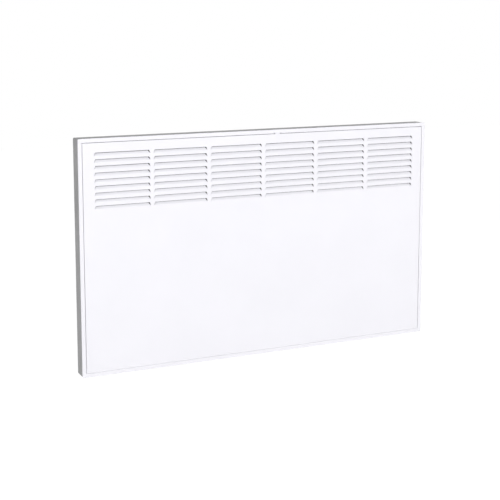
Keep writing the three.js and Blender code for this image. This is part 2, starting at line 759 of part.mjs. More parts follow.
// Hub and four wings, drawn in Y and Z
function elementSection() {
  const points = [];
  const rootReach = Math.sqrt(elementHub ** 2 - (wingRoot / 2) ** 2);
  for (let wing = 0; wing < 4; wing += 1) {
    const angle = Math.PI / 4 + (wing * Math.PI) / 2;
    const at = (reach, aside) => [
      reach * Math.cos(angle) - aside * Math.sin(angle), reach * Math.sin(angle) + aside * Math.cos(angle)];
    points.push(at(rootReach, -wingRoot / 2), at(elementWingReach, -wingTip / 2));
    points.push(at(elementWingReach, wingTip / 2), at(rootReach, wingRoot / 2));
    for (const turn of [36, 54]) {
      const onHub = angle + radians(turn);
      points.push([elementHub * Math.cos(onHub), elementHub * Math.sin(onHub)]);
    }
  }
  return outline(points);
}

// An X-shaped body whose wings are slit into fins, with the heater's journals, pins and tabs
function heatingElement() {
  const half = cheekX - elementEndRoom;
  const body = bar(elementSection(), -half, 2 * half);
  const ring = turned([
    [slitInner, -slitWidth / 2], [elementWingReach + 4, -slitWidth / 2],
    [elementWingReach + 4, slitWidth / 2], [slitInner, slitWidth / 2], [slitInner, -slitWidth / 2],
  ], 8, 'X').rotateX(Math.PI / 8);
  const count = Math.floor((2 * half - slitPitch) / slitPitch);
  const slits = spread(count, slitPitch).map((x) => ring.clone().translate(x, 0, 0));
  const journalEnd = cheekOuter + journalOutside;
  const pinEnd = journalEnd + pin.length;
  const core = turned([
    [0, -pinEnd], [pin.radius, -pinEnd], [pin.radius, -journalEnd], [journalRadius, -journalEnd],
    [journalRadius, journalEnd], [pin.radius, journalEnd], [pin.radius, pinEnd], [0, pinEnd],
  ], 12, 'X');
  const tabs = [-1, 1].map((side) => box(
    side * (pinEnd - 1), side * tabFromCentre, -tab.thickness / 2, tab.thickness / 2,
    -tab.width / 2, tab.width / 2));
  return join(cut(body, together(slits)), core, ...tabs);
}

// A flanged ceramic bush in the cheek round the element's journal, outwards along +X
function elementBush() {
  const bore = journalRadius + fitGap;
  const top = fitGap + bush.flangeThickness;
  return turned([
    [bore, -bush.inside], [bush.barrel, -bush.inside], [bush.barrel, fitGap], [bush.flange, fitGap],
    [bush.flange, top], [bore, top], [bore, -bush.inside],
  ], 14, 'X');
}

// A disc cut-out whose cap looks into the duct; its tabs point outwards along +X
function thermalCutout() {
  const { radius, flange, flangeThickness, cap, body } = cutout;
  const top = fitGap + flangeThickness;
  const disc = turned([
    [0, -cap], [radius - 1, -cap], [radius, 1 - cap], [radius, fitGap], [flange, fitGap],
    [flange, top], [radius, top], [radius, top + body], [0, top + body],
  ], 14, 'X');
  const tabs = [-1, 1].map((side) => {
    const y = (side * cutout.tabSpread) / 2;
    return box(top + body - 1, top + body + tab.length, y - tab.thickness / 2, y + tab.thickness / 2,
      -tab.width / 2, tab.width / 2);
  });
  return join(disc, ...tabs);
}

// ---------------------------------------------------------------- controls

function controlFascia() {
  const { width, height, radius, thickness } = fascia;
  const bevel = 0.6;
  const shape = roundedRect(width / 2, height / 2, radius);
  const plate = new THREE.ExtrudeGeometry(shape, {
    depth: thickness - 2 * bevel, curveSegments: 3, bevelThickness: bevel, bevelSize: bevel,
    bevelOffset: -bevel, bevelSegments: 1,
  });
  const turn = new THREE.Matrix4().makeBasis(
    new THREE.Vector3(0, 1, 0), new THREE.Vector3(0, 0, 1), new THREE.Vector3(1, 0, 0));
  plate.applyMatrix4(turn).translate(
    controlOuter - thickness + bevel, controlBehindFace, fasciaZ);
  return cut(plate, controlHoles(controlOuter - thickness - 1, controlOuter + 1));
}

// A grip with shallow flutes on a round skirt, turning about X; the pointer ridge is at +Z
function thermostatKnob() {
  const { skirt, skirtHeight, grip, gripHeight, flutes, fluteDepth } = knob;
  const base = turned([
    [0, 0], [skirt, 0], [skirt, skirtHeight - 1], [skirt - 1, skirtHeight], [0, skirtHeight],
  ], 24, 'X');
  const points = [];
  for (let i = 0; i < 3 * flutes; i += 1) {
    const angle = (2 * Math.PI * i) / (3 * flutes);
    const reach = i % 3 === 0 ? grip - fluteDepth : grip;
    points.push([reach * Math.cos(angle), reach * Math.sin(angle)]);
  }
  const bevel = 0.8;
  const handle = new THREE.ExtrudeGeometry(outline(points), {
    depth: gripHeight, bevelThickness: bevel, bevelSize: bevel, bevelOffset: -bevel, bevelSegments: 1,
  }).rotateY(Math.PI / 2).translate(skirtHeight - bevel, 0, 0);
  const top = skirtHeight + gripHeight;
  const pointer = box(top - 1, top + 0.5, -0.6, 0.6, 0.3 * grip, 0.85 * grip);
  const bore = rod(spindle.radius + fitGap, -1, spindle.inKnob + fitGap, 'X');
  return cut(join(base, handle, pointer), bore);
}

function thermostatSpindle() {
  const start = panWallInner - fitGap - spindle.inside;
  const end = knobBase + spindle.inKnob;
  const shaft = rod(spindle.radius, start, end, 'X');
  const flat = box(controlOuter, end + 1, 0.6 * spindle.radius, 2 * spindle.radius,
    -2 * spindle.radius, 2 * spindle.radius);
  return cut(shaft, flat);
}

// The thermostat's case behind the right wall, with a blind bore for the spindle and two tabs
function thermostatBody() {
  const { width, height, depth, tabSpread } = thermostat;
  const caseBody = bar(roundedRect(width / 2, height / 2, 2), -depth, depth);
  const cover = bar(roundedRect(width / 2 - 2, height / 2 - 2, 2), -depth - 1, 2);
  const tabs = [-1, 1].map((side) => {
    const z = (side * tabSpread) / 2;
    return box(-depth - tab.length, 1 - depth, -tab.width / 2, tab.width / 2,
      z - tab.thickness / 2, z + tab.thickness / 2);
  });
  const bore = rod(spindle.radius + runningGap, -spindle.inside - fitGap, 1, 'X');
  return cut(join(caseBody, cover, ...tabs), bore);
}

// A switch case with its bezel, open pocket and two blind pivot holes; its face is X = 0
function switchHousing() {
  const lap = switchBody.bezelLap;
  const bezel = bar(roundedRect(switchWidth / 2 + lap, switchHeight / 2 + lap, 1.2),
    -switchBody.bezel, switchBody.bezel);
  const body = box(-switchBody.depth, -switchBody.bezel / 2,
    -switchWidth / 2, switchWidth / 2, -switchHeight / 2, switchHeight / 2);
  const pocket = box(-pocketDepth, 1, -switchPocketWidth / 2, switchPocketWidth / 2,
    -switchPocketHeight / 2, switchPocketHeight / 2);
  const pinHole = rod(pivot.radius + fitGap, -switchPocketWidth / 2 - switchWall + 0.4,
    switchPocketWidth / 2 + switchWall - 0.4, 'Y').translate(-pivot.inset, 0, 0);
  const tabs = [-1, 1].map((side) => {
    const z = (side * switchBody.tabSpread) / 2;
    return box(-switchBody.depth - tab.length, 1 - switchBody.depth, -tab.width / 2, tab.width / 2,
      z - tab.thickness / 2, z + tab.thickness / 2);
  });
  return cut(join(body, bezel, ...tabs), pocket, pinHole);
}

// A dished rocker on its pivot pin, which is at the origin and runs along Y
function powerRocker() {
  const { width, half, crown, dip, side, keel } = rocker;
  const points = [];
  for (let i = 0; i <= 6; i += 1) {
    const z = half * (i / 3 - 1);
    points.push([dip + (crown - dip) * (z / half) ** 2, z]);
  }
  for (let i = 0; i <= 6; i += 1) {
    const angle = (Math.PI * i) / 6;
    points.push([0.5 - (keel + 0.5) * Math.sin(angle), side * Math.cos(angle)]);
  }
  const reach = width / 2 + rockerSideGap + pivot.reach;
  return join(slab(outline(points), -width / 2, width), rod(pivot.radius, -reach, reach, 'Y', 10));
}

// ---------------------------------------------------------------- wiring

// Three ways with lead holes above and below and a screw hole in front of each
function terminalBlock() {
  const { width, depth, height, ways, wayPitch } = block;
  const hole = leadRadius + 0.5;
  const body = box(-width / 2, width / 2, -depth / 2, depth / 2, -height / 2, height / 2);
  const cutters = spread(ways, wayPitch).flatMap((x) => [
    rod(hole, height / 2 - 6, height / 2 + 1, 'Z', 8).translate(x, 0, 0),
    rod(hole, -height / 2 - 1, 6 - height / 2, 'Z', 8).translate(x, 0, 0),
    rod(hole + 0.4, -depth / 2 - 1, 3 - depth / 2, 'Y', 8).translate(x, 0, 0),
  ]);
  const grooves = spread(ways - 1, wayPitch).map((x) => box(
    x - 0.5, x + 0.5, -depth / 2 - 1, 4 - depth / 2, -height / 2 - 1, height / 2 + 1));
  return cut(body, together([...cutters, ...grooves]));
}

// The gland stands in the floor of the pan with its dome down; Z = 0 is the floor's underside
function cordGland() {
  const { thread, bore, across, hex, dome, inside } = gland;
  const low = -fitGap - hex - dome;
  const body = turned([
    [bore, low], [thread - 1.5, low], [thread + 1, low + 3], [thread + 1, -1], [thread, -1],
    [thread, inside], [bore, inside], [bore, low],
  ], 14, 'Z');
  const flats = polygon(across / 2 / Math.cos(Math.PI / 6), 6);
  flats.holes.push(polygon(bore + 1, 12));
  return join(body, post(flats, -fitGap - hex, hex));
}

function nutOfGland() {
  const flats = polygon(glandNut.across / 2 / Math.cos(Math.PI / 6), 6);
  flats.holes.push(polygon(gland.thread + fitGap, 20));
  return post(flats, sheet + fitGap, glandNut.height);
}

// The capillary comes down from the thermostat to a bulb that lies in the inflowing air
function roomSensor() {
  const { radius, length, behind, fromCheek, capillary } = bulb;
  const start = cheekOuter + fromCheek;
  const end = start + length;
  const caseBottom = knobZ - thermostat.height / 2;
  const wall = panWallInner - 2 * capillary;
  const beside = controlBehindFace + switchWidth / 2 + 2 * radius;
  const stem = tube([
    [wall - 2 * radius, beside - 2, caseBottom - fitGap],
    [wall - 2 * radius, beside - 1.5, caseBottom - 2 * radius],
    [wall - radius, beside, switchZ + 5 * radius], [wall - 0.6, beside, switchZ - 2 * radius],
    [wall - 0.4, beside - 2, blockTop - radius], [wall - 0.6, behind + 5 * radius, blockTop - 7 * radius],
    [wall - radius, behind + radius, bulbZ + radius], [end + radius, behind, bulbZ],
    [end - 1, behind, bulbZ],
  ], capillary);
  const body = turned([
    [0, start], [radius - 1, start], [radius, start + 1], [radius, end - 1], [radius - 1, end], [0, end],
  ], 12, 'X').translate(0, behind, bulbZ);
  return join(stem, body);
}

// A spring saddle round something of the given radius, drawn in Y and Z round the origin.
// Its foot lies at -Z, `drop` below the middle.
function saddle(radius, wall, drop, foot, length) {
  const inner = radius + fitGap;
  const outer = inner + wall;
  const ring = rod(outer, -length / 2, length / 2, 'X', 12);
  const stem = box(-length / 2, length / 2, -wall, wall, -drop, -inner - wall / 2);
  const base = box(-length / 2, length / 2, -foot / 2, foot / 2, -drop, wall - drop);
  const hole = rod(inner, -length, length, 'X', 12);
  const mouth = box(-length, length, -inner * 0.7, inner * 0.7, 0, 2 * outer);
  return cut(join(ring, stem, base), hole, mouth);
}

function sensorClip() {
  const drop = bulbZ + panHalfHeight - sheet - fitGap;
  return saddle(bulb.radius, bulbClip.wall, drop, bulbClip.foot, bulbClip.length);
}

// Saddles that hold the long lead to the back
function leadClips() {
  const drop = backInner - fitGap - leadBehindShield;
  const one = saddle(leadRadius, leadClip.wall, drop, 4 * leadRadius, leadClip.length);
  return spread(leadClip.count, leadClip.pitch).map((x, i) => piece(
    `lead_clip_${i + 1}`, one, zincPlate(), [x, leadBehindShield, leadRise - halfHeight],
    [Math.PI / 2, 0, 0]));
}

// A sleeve on a tab that points along X; `from` is the tab's end and `side` the way out.
// `flat` says which way the tab is wide.
function sleeveAt(from, side, y, z, flat) {
  const start = from + side * fitGap;
  const wide = flat === 'Y' ? [sleeve.width, sleeve.thickness] : [sleeve.thickness, sleeve.width];
  return box(start, start + side * sleeve.length,
    y - wide[0] / 2, y + wide[0] / 2, z - wide[1] / 2, z + wide[1] / 2);
}

// The point where a lead enters a sleeve, a little inside it
function sleeveMouth(from, side) {
  return from + side * (fitGap + sleeve.length - 1);
}

// The port of the terminal block, and the way up out of it
function blockExit(way) {
  const x = blockX + (way - (block.ways - 1) / 2) * block.wayPitch;
  return [[x, blockBehind, blockTop - 4], [x, blockBehind, blockTop + 3]];
}

function leadLive() {
  const from = switchInner - tab.length;
  const x = sleeveMouth(from, -1);
  const z = switchZ - switchBody.tabSpread / 2;
  const y = controlBehindFace;
  const route = [
    ...blockExit(0), [x - 3, (blockBehind + y) / 2, blockTop + 9], [x - 7, y, z - 4.5],
    [x - 5.5, y, z - 0.8], [x - 2.5, y, z], [x, y, z],
  ];
  return join(tube(route, leadRadius), sleeveAt(from, -1, y, z, 'Y'));
}

function leadSwitched() {
  const y = controlBehindFace;
  const low = { from: switchInner - tab.length, z: switchZ + switchBody.tabSpread / 2 };
  const high = { from: thermostatInner - tab.length, z: knobZ - thermostat.tabSpread / 2 };
  const x0 = sleeveMouth(low.from, -1);
  const x1 = sleeveMouth(high.from, -1);
  const route = [
    [x0, y, low.z], [x0 - 4, y, low.z], [x0 - 9, y + 2, low.z + 4.5], [cheekOuter + 7.5, y + 8, elementZ - 5],
    [cheekOuter + 5.5, y + 6, elementZ + 10], [cheekOuter + 5.5, y + 1, high.z - 1.5],
    [x1 - 3, y, high.z], [x1, y, high.z],
  ];
  return join(tube(route, leadRadius),
    sleeveAt(low.from, -1, y, low.z, 'Y'), sleeveAt(high.from, -1, y, high.z, 'Y'));
}

function leadCutout() {
  const y0 = controlBehindFace;
  const z0 = knobZ + thermostat.tabSpread / 2;
  const from = thermostatInner - tab.length;
  const x0 = sleeveMouth(from, -1);
  const y1 = elementBehindFace + cutout.tabSpread / 2;
  const x1 = sleeveMouth(cutoutTabEnd, 1);
  const route = [
    [x0, y0, z0], [x0 - 3, y0, z0], [cheekOuter + 5.5, y0 + 1, z0 + 4.5],
    [cheekOuter + 8, y0 + 4, (z0 + cutoutZ) / 2], [x1 - 5, y0 + 4, cutoutZ - 10],
    [x1 + 5, y1 + 7, cutoutZ - 2], [x1 + 6.5, y1 + 1.5, cutoutZ], [x1 + 4, y1, cutoutZ], [x1, y1, cutoutZ],
  ];
  return join(tube(route, leadRadius),
    sleeveAt(from, -1, y0, z0, 'Y'), sleeveAt(cutoutTabEnd, 1, y1, cutoutZ, 'Z'));
}

function leadElement() {
  const y0 = elementBehindFace - cutout.tabSpread / 2;
  const x0 = sleeveMouth(cutoutTabEnd, 1);
  const x1 = sleeveMouth(tabFromCentre, 1);
  const y1 = elementBehindFace;
  const route = [
    [x0, y0, cutoutZ], [x0 + leadTurn, y0, cutoutZ],
    [x0 + 2.2 * leadTurn, y0 - leadTurn / 4, cutoutZ - 0.75 * leadTurn],
    [x1 + leadTurn, y1 - 2.2 * leadTurn, (cutoutZ + elementZ) / 2],
    [x1 + 2 * leadTurn, y1 - 2 * leadTurn, elementZ + 3.5 * leadTurn],
    [x1 + 2 * leadTurn, y1 - leadTurn / 2, elementZ + leadTurn / 2],
    [x1 + leadTurn, y1, elementZ], [x1, y1, elementZ],
  ];
  return join(tube(route, leadRadius),
    sleeveAt(cutoutTabEnd, 1, y0, cutoutZ, 'Z'), sleeveAt(tabFromCentre, 1, y1, elementZ, 'Z'));
}

// From the terminal block behind the shield to the element's left end
function leadNeutral() {
  const y = leadBehindShield;
  const z = leadRise - halfHeight;
  const end = -sleeveMouth(tabFromCentre, 1);
  const straight = [cheekX + 16, cheekX - 10, cheekX / 3].map((x) => [x, y, z]);
  const route = [
    ...blockExit(1), [blockX - 7, y - 2.5, z - 0.5], ...straight,
    ...straight.map(([x]) => [-x, y, z]).reverse(), [end + leadTurn / 2, y - 3, z + leadTurn],
    [end - 1.5 * leadTurn, y - 3 * leadTurn, z + 5 * leadTurn],
    [end - 2.2 * leadTurn, elementBehindFace + 5, elementZ - 2 * leadTurn],
    [end - 1.2 * leadTurn, elementBehindFace + 0.5, elementZ], [end, elementBehindFace, elementZ],
  ];
  return join(tube(route, leadRadius), sleeveAt(-tabFromCentre, -1, elementBehindFace, elementZ, 'Z'));
}

// From the terminal block to a lug under the earth screw
function leadEarth() {
  const { x, z } = earthPoint;
  const seat = backInner - fitGap;
  const lugFront = seat - earth.lugThickness;
  const exit = blockExit(2);
  const route = [
    ...exit, [exit[1][0] - 1.5 * leadTurn, seat - 5, blockTop + 3 * leadTurn],
    [(exit[1][0] + x) / 2, seat - 5, blockTop + 6 * leadTurn],
    [x + leadTurn / 2, seat - 3, z - 3 * leadTurn], [x, lugFront - 0.5, z - screw.head - 0.5],
  ];
  const lug = turned([
    [screw.hole, lugFront], [earth.lug, lugFront], [earth.lug, seat], [screw.hole, seat],
    [screw.hole, lugFront],
  ], 14, 'Y').translate(x, 0, z);
  return join(tube(route, leadRadius), lug);
}

// ---------------------------------------------------------------- wall bracket

// A web with two upturned hooks; Y is measured from the wall, towards the room
function bracketWeb() {
  const half = bracketHeight / 2;
  const throat = -bracketReach - sheet - 2 * fitGap;
  const points = [[0, -half], [0, half], [-bracketReach, half]];
  for (const top of hookTops) {
    points.push(
      [-bracketReach, top], [throat, top], [throat, top + hook.rise], [throat - 1, top + hook.rise],
      [-hookFront, top + hook.rise - 2], [-hookFront, top - hook.tab], [-bracketReach, top - hook.tab]);
  }
  points.push([-bracketReach, -half]);
  return bar(outline(points), -bracketSheet / 2, bracketSheet);
}

// Two feet against the wall joined by a crossbar, with a web folded up from each foot
function wallBracket() {
  const half = bracketHeight / 2;
  const inner = bracketSpread / 2 - bracketSheet / 2;
  const outer = inner + bracketFoot;
  const plate = slab(outline([
    [-outer, -half], [-inner, -half], [-inner, -bracketBar / 2], [inner, -bracketBar / 2],
    [inner, -half], [outer, -half], [outer, half], [inner, half], [inner, bracketBar / 2],
    [-inner, bracketBar / 2], [-inner, half], [-outer, half],
  ]), -bracketSheet, bracketSheet);
  const web = bracketWeb();
  const webs = spread(2, bracketSpread).map((x) => web.clone().translate(x, 0, 0));
  const lips = [-1, 1].map((up) => box(-inner - 0.5, inner + 0.5, -bracketLip, -bracketSheet / 2,
    up * (bracketBar / 2), up * (bracketBar / 2 - bracketSheet)));
  const holeX = (inner + bracketSheet + outer) / 2;
  const heights = [-half + 15, -half / 3, half / 3, half - 15];
  const holes = heights.flatMap((z) => [-holeX, holeX].map((x) => rod(
    bracketHole, -bracketSheet - 1, 1, 'Y').translate(x, 0, z)));
  return cut(join(plate, ...webs, ...lips), together(holes));
}

// ---------------------------------------------------------------- assembly

function frontGroup() {
  const group = new THREE.Group();
  group.add(
    piece('front_border', frontBorder(), whitePaint()),
    piece('front_panel', frontPanel(), whitePaint()),
    piece('panel_stiffener', panelStiffener(), whitePaint()),
    piece('panel_catch', clipAtTop(catchLength, catchSetBack), whitePaint(), [catchOffset, 0, halfHeight]),
    ...panelClips());
  return group;
}

function casingGroup() {
  const group = new THREE.Group();
  const padX = halfWidth - pad.fromSide;
  const padZ = pad.rise - halfHeight;
  group.add(
    piece('casing_ring', casingRing(), greyPaint()),
    piece('inlet_grille', inletGrille(), greyPaint()),
    piece('back_pan', backPan(), galvanised()),
    ...screws('rear_screw', rearScrewPlaces().map(([x, z]) => [x, casingDepth, z]), [Math.PI, 0, 0]),
    ...screws('cheek_screw', cheekScrewPlaces().map(([x, z]) => [x, bodyDepth, z]), [Math.PI, 0, 0]),
    ...screws('front_screw', borderTabPlaces().map((x) => [
      x, frontScrewDepth(), casingSetIn - halfHeight]), [Math.PI / 2, 0, 0]),
    piece('wall_pad_left', wallPad(), blackRubber(), [-padX, bodyDepth, padZ]),
    piece('wall_pad_right', wallPad(), blackRubber(), [padX, bodyDepth, padZ]));
  return group;
}

function ductGroup() {
  const group = new THREE.Group();
  const bushPlace = [cheekOuter, elementBehindFace, elementZ];
  const [bushX, ...bushYZ] = bushPlace;
  group.add(
    piece('duct_cheek_left', cheek(-1), galvanised(), [-cheekX, 0, 0]),
    piece('duct_cheek_right', cheek(1), galvanised(), [cheekX, 0, 0]),
    piece('heat_shield', heatShield(), aluminised()),
    piece('air_deflector', airDeflector(), darkCoat()),
    piece('heating_element', heatingElement(), castAluminium(), [0, elementBehindFace, elementZ]),
    piece('element_bush_left', elementBush(), ceramic(), [-bushX, ...bushYZ], [0, Math.PI, 0]),
    piece('element_bush_right', elementBush(), ceramic(), bushPlace),
    piece('thermal_cutout', thermalCutout(), darkPlastic(), [cheekOuter, elementBehindFace, cutoutZ]));
  return group;
}

function controlGroup() {
  const group = new THREE.Group();
  const atRest = radians(135);
  group.add(
    piece('control_fascia', controlFascia(), whitePlastic()),
    ...screws('fascia_screw', fasciaScrewHeights().map((z) => [
      controlOuter, controlBehindFace, z]), [0, 0, Math.PI / 2]),
    piece('thermostat_body', thermostatBody(), darkPlastic(),
      [panWallInner - fitGap, controlBehindFace, knobZ]),
    piece('thermostat_spindle', thermostatSpindle(), zincPlate(), [0, controlBehindFace, knobZ]),
    piece('thermostat_knob', thermostatKnob(), whitePlastic(),
      [knobBase, controlBehindFace, knobZ], [atRest, 0, 0]),
    piece('switch_housing', switchHousing(), darkPlastic(), [switchFace, controlBehindFace, switchZ]),
    piece('power_rocker', powerRocker(), darkPlastic(),
      [switchFace - pivot.inset, controlBehindFace, switchZ], [0, radians(rockerTilt), 0]));
  return group;
}

function wiringGroup() {
  const group = new THREE.Group();
  const floor = -panHalfHeight;
  group.add(
    piece('terminal_block', terminalBlock(), whitePlastic(),
      [blockX, blockBehind, blockTop - block.height / 2]),
    piece('cord_gland', cordGland(), darkPlastic(), [glandX, gland.behind, floor]),
    piece('gland_nut', nutOfGland(), darkPlastic(), [glandX, gland.behind, floor]),
    piece('room_sensor', roomSensor(), copper()),
    piece('sensor_clip', sensorClip(), zincPlate(),
      [cheekOuter + bulb.fromCheek + bulb.length / 2, bulb.behind, bulbZ]),
    piece('lead_live', leadLive(), finish(0x6b4226, 0.5, 0)),
    piece('lead_switched', leadSwitched(), finish(0x262626, 0.5, 0)),
    piece('lead_cutout', leadCutout(), finish(0x262626, 0.5, 0)),
    piece('lead_element', leadElement(), finish(0x262626, 0.5, 0)),
    piece('lead_neutral', leadNeutral(), finish(0x27508c, 0.5, 0)),
    piece('lead_earth', leadEarth(), finish(0x4f8a3a, 0.5, 0)),
    piece('earth_screw', screwBody(earth.screwLength), zincPlate(),
      [earthPoint.x, backInner - fitGap - earth.lugThickness, earthPoint.z]),
    ...leadClips());
  return group;
}

const heater = new THREE.Group();
heater.add(frontGroup(), casingGroup(), ductGroup(), controlGroup(), wiringGroup());
heater.position.y = -(bracketReach + fitGap + bodyDepth);

const assembly = new THREE.Group();
assembly.add(piece('wall_bracket', wallBracket(), galvanised()), heater);

export default assembly;
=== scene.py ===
# %% [markdown]
# # A wall panel heater, dressed in Blender
# The heater is a flat box that hangs on a steel bracket. Room air comes in underneath, is warmed by
# a finned element, and leaves through pressed louvres in the front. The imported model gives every
# piece its place and size. This file adds the finishes, and models again the few pieces whose
# curves, slits and recesses are too coarse there: the screws, the knob, the switch's rocker, the
# cord gland with its nut and seal, the wall pads, the catch and the finned element. It also prints
# the marks round the knob and on the rocker.

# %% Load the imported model
import json
import math

import bmesh
import bpy
from mathutils import Matrix, Vector


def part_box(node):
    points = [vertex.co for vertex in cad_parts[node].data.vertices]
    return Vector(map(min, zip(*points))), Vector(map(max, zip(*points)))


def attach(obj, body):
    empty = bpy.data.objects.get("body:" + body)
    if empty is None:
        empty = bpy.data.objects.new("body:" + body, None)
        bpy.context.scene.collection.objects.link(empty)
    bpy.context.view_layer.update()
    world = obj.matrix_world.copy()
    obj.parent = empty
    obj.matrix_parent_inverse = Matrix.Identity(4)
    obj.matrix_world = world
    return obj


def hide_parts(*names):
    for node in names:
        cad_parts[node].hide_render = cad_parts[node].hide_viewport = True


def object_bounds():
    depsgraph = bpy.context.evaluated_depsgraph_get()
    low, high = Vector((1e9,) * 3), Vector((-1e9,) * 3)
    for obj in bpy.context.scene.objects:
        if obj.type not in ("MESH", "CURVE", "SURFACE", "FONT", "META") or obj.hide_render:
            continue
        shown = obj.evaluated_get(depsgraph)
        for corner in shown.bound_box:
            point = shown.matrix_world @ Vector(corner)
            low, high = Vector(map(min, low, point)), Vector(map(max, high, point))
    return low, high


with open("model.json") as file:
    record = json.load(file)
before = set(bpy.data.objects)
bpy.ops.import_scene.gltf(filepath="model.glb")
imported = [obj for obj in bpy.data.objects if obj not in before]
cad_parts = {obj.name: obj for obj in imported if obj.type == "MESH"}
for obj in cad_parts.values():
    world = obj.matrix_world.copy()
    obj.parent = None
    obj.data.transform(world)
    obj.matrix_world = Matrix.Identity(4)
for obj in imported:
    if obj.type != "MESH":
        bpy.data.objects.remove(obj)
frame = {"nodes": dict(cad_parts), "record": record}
nodes = frame["nodes"]
cad_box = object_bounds()

# %% [markdown]
# ## Camera
# The photograph was taken from the heater's left, a little above it, with upright edges that stay
# nearly upright. So the camera looks down by only a few degrees, and a small downward shift of the
# lens does the rest. The place, the angles and the lens come from fitting the four corners of the
# front to the corners in the photograph.

# %% Place the camera
camera_place = Vector((-0.9535, -2.0511, 0.4493))
look_down, look_right = 8.127, 25.121  # degrees
camera_data = bpy.data.cameras.new("camera")
camera_data.lens = 81.03
camera_data.sensor_width = 36.0
camera_data.shift_y = -0.15
camera_data.clip_end = 50.0
camera = bpy.data.objects.new("camera", camera_data)
camera.location = camera_place
camera.rotation_euler = (math.radians(90 - look_down), 0.0, math.radians(-look_right))
bpy.context.scene.collection.objects.link(camera)
bpy.context.scene.camera = camera
front_middle = Vector((0, cad_box[0][1], 0))
print("camera distance to the front:", round((camera_place - front_middle).length, 3), "m")

# %% [markdown]
# ## Light and surroundings
# White paint shows its form only by small steps of brightness. A plain white room would wash them
# out, so an even world gives the base level, and one large soft lamp in front adds to what faces
# it. The top and the side then come out darker than the front. A weak fill keeps the left side from
# going dull. Two low lamps on the far side, one beside the heater and one behind it, rake the right
# side and the back, which the photograph doesn't show. The camera sees a white world and a white
# floor without any extra light on the heater: Light Path tells the camera's rays, and the mirror
# rays that leave bare metal, from those that light the paint.


# %% Build the world
def seen_rays(tree):
    """1 for rays that show a surface as itself: from the camera, off metal or through glass."""
    path = tree.nodes.new("ShaderNodeLightPath")
    either = tree.nodes.new("ShaderNodeMath")
    either.operation = "MAXIMUM"
    any_view = tree.nodes.new("ShaderNodeMath")
    any_view.operation = "MAXIMUM"
    tree.links.new(path.outputs["Is Camera Ray"], either.inputs[0])
    tree.links.new(path.outputs["Is Transmission Ray"], either.inputs[1])
    tree.links.new(path.outputs["Is Glossy Ray"], any_view.inputs[0])
    tree.links.new(either.outputs[0], any_view.inputs[1])
    return any_view.outputs[0]


def studio_world(level, seen):
    """An even light of strength `level`, which looks like a backdrop of strength `seen`."""
    world = bpy.data.worlds.new("studio")
    world.use_nodes = True
    tree = world.node_tree
    tree.nodes.clear()
    choose = tree.nodes.new("ShaderNodeMixShader")
    tree.links.new(seen_rays(tree), choose.inputs[0])
    for socket, strength in ((1, level), (2, seen)):
        white = tree.nodes.new("ShaderNodeBackground")
        white.inputs["Color"].default_value = (1.0, 1.0, 1.0, 1.0)
        white.inputs["Strength"].default_value = strength
        tree.links.new(white.outputs[0], choose.inputs[socket])
    out = tree.nodes.new("ShaderNodeOutputWorld")
    tree.links.new(choose.outputs[0], out.inputs["Surface"])
    bpy.context.scene.world = world


studio_world(level=0.31, seen=1.0)
bpy.context.scene.view_settings.view_transform = "Standard"
print("world set, view transform:", bpy.context.scene.view_settings.view_transform)


# %% Hang the lamps
def soft_lamp(name, place, target, size, power):
    """An area lamp of that size in metres and that power in watts, aimed at `target`."""
    data = bpy.data.lights.new(name, "AREA")
    data.shape = "RECTANGLE"
    data.size, data.size_y = size
    data.energy = power
    lamp = bpy.data.objects.new(name, data)
    lamp.location = place
    lamp.rotation_euler = (Vector(target) - Vector(place)).to_track_quat("-Z", "Y").to_euler()
    bpy.context.scene.collection.objects.link(lamp)
    print(name, "at", place, "with", power, "W")


heater_middle = (0, -0.05, 0)
soft_lamp("key_lamp", (0.5, -5.0, 1.7), heater_middle, (2.2, 1.7), 145.0)
soft_lamp("fill_lamp", (-2.6, -0.9, 0.5), heater_middle, (1.6, 1.6), 17.0)
soft_lamp("side_lamp", (2.5, -0.6, -0.2), heater_middle, (1.2, 0.5), 6.0)
soft_lamp("back_lamp", (2.8, 1.6, -0.1), (0, 0, 0), (1.2, 0.6), 8.0)

# %% [markdown]
# ## Floor
# Such a heater hangs about 30 cm above the floor, so the floor lies below it and takes a soft
# shadow. Most of what the camera sees of it is plain white, and the rest is lit paint, which is
# enough to carry the shadow. Bare metal mirrors the same white.


# %% Helper: from bmesh to object
def mesh_object(name, shape):
    """Turn a finished bmesh into an object at the origin."""
    mesh = bpy.data.meshes.new(name)
    shape.to_mesh(mesh)
    shape.free()
    made = bpy.data.objects.new(name, mesh)
    bpy.context.scene.collection.objects.link(made)
    return made


# %% Lay the floor
def floor_material(seen_share, white):
    """Lit paint, of which the camera sees `seen_share` as a plain glow of strength `white`."""
    material = bpy.data.materials.new("floor_white")
    material.use_nodes = True
    tree = material.node_tree
    tree.nodes.clear()
    share = tree.nodes.new("ShaderNodeMath")
    share.operation = "MULTIPLY"
    share.inputs[1].default_value = seen_share
    paint = tree.nodes.new("ShaderNodeBsdfDiffuse")
    paint.inputs["Color"].default_value = (0.93, 0.93, 0.93, 1.0)
    glow = tree.nodes.new("ShaderNodeEmission")
    glow.inputs["Strength"].default_value = white
    mix = tree.nodes.new("ShaderNodeMixShader")
    out = tree.nodes.new("ShaderNodeOutputMaterial")
    tree.links.new(seen_rays(tree), share.inputs[0])
    tree.links.new(share.outputs[0], mix.inputs[0])
    tree.links.new(paint.outputs[0], mix.inputs[1])
    tree.links.new(glow.outputs[0], mix.inputs[2])
    tree.links.new(mix.outputs[0], out.inputs["Surface"])
    return material


floor_gap, floor_half = 0.30, 6.0
floor_height = cad_box[0][2] - floor_gap
floor_shape = bmesh.new()
bmesh.ops.create_grid(floor_shape, x_segments=2, y_segments=2, size=floor_half)
bmesh.ops.translate(floor_shape, vec=(0, 0, floor_height), verts=floor_shape.verts)
floor = mesh_object("floor", floor_shape)
floor.data.materials.append(floor_material(seen_share=0.8, white=1.20))
print("floor at z =", round(floor_height, 3))

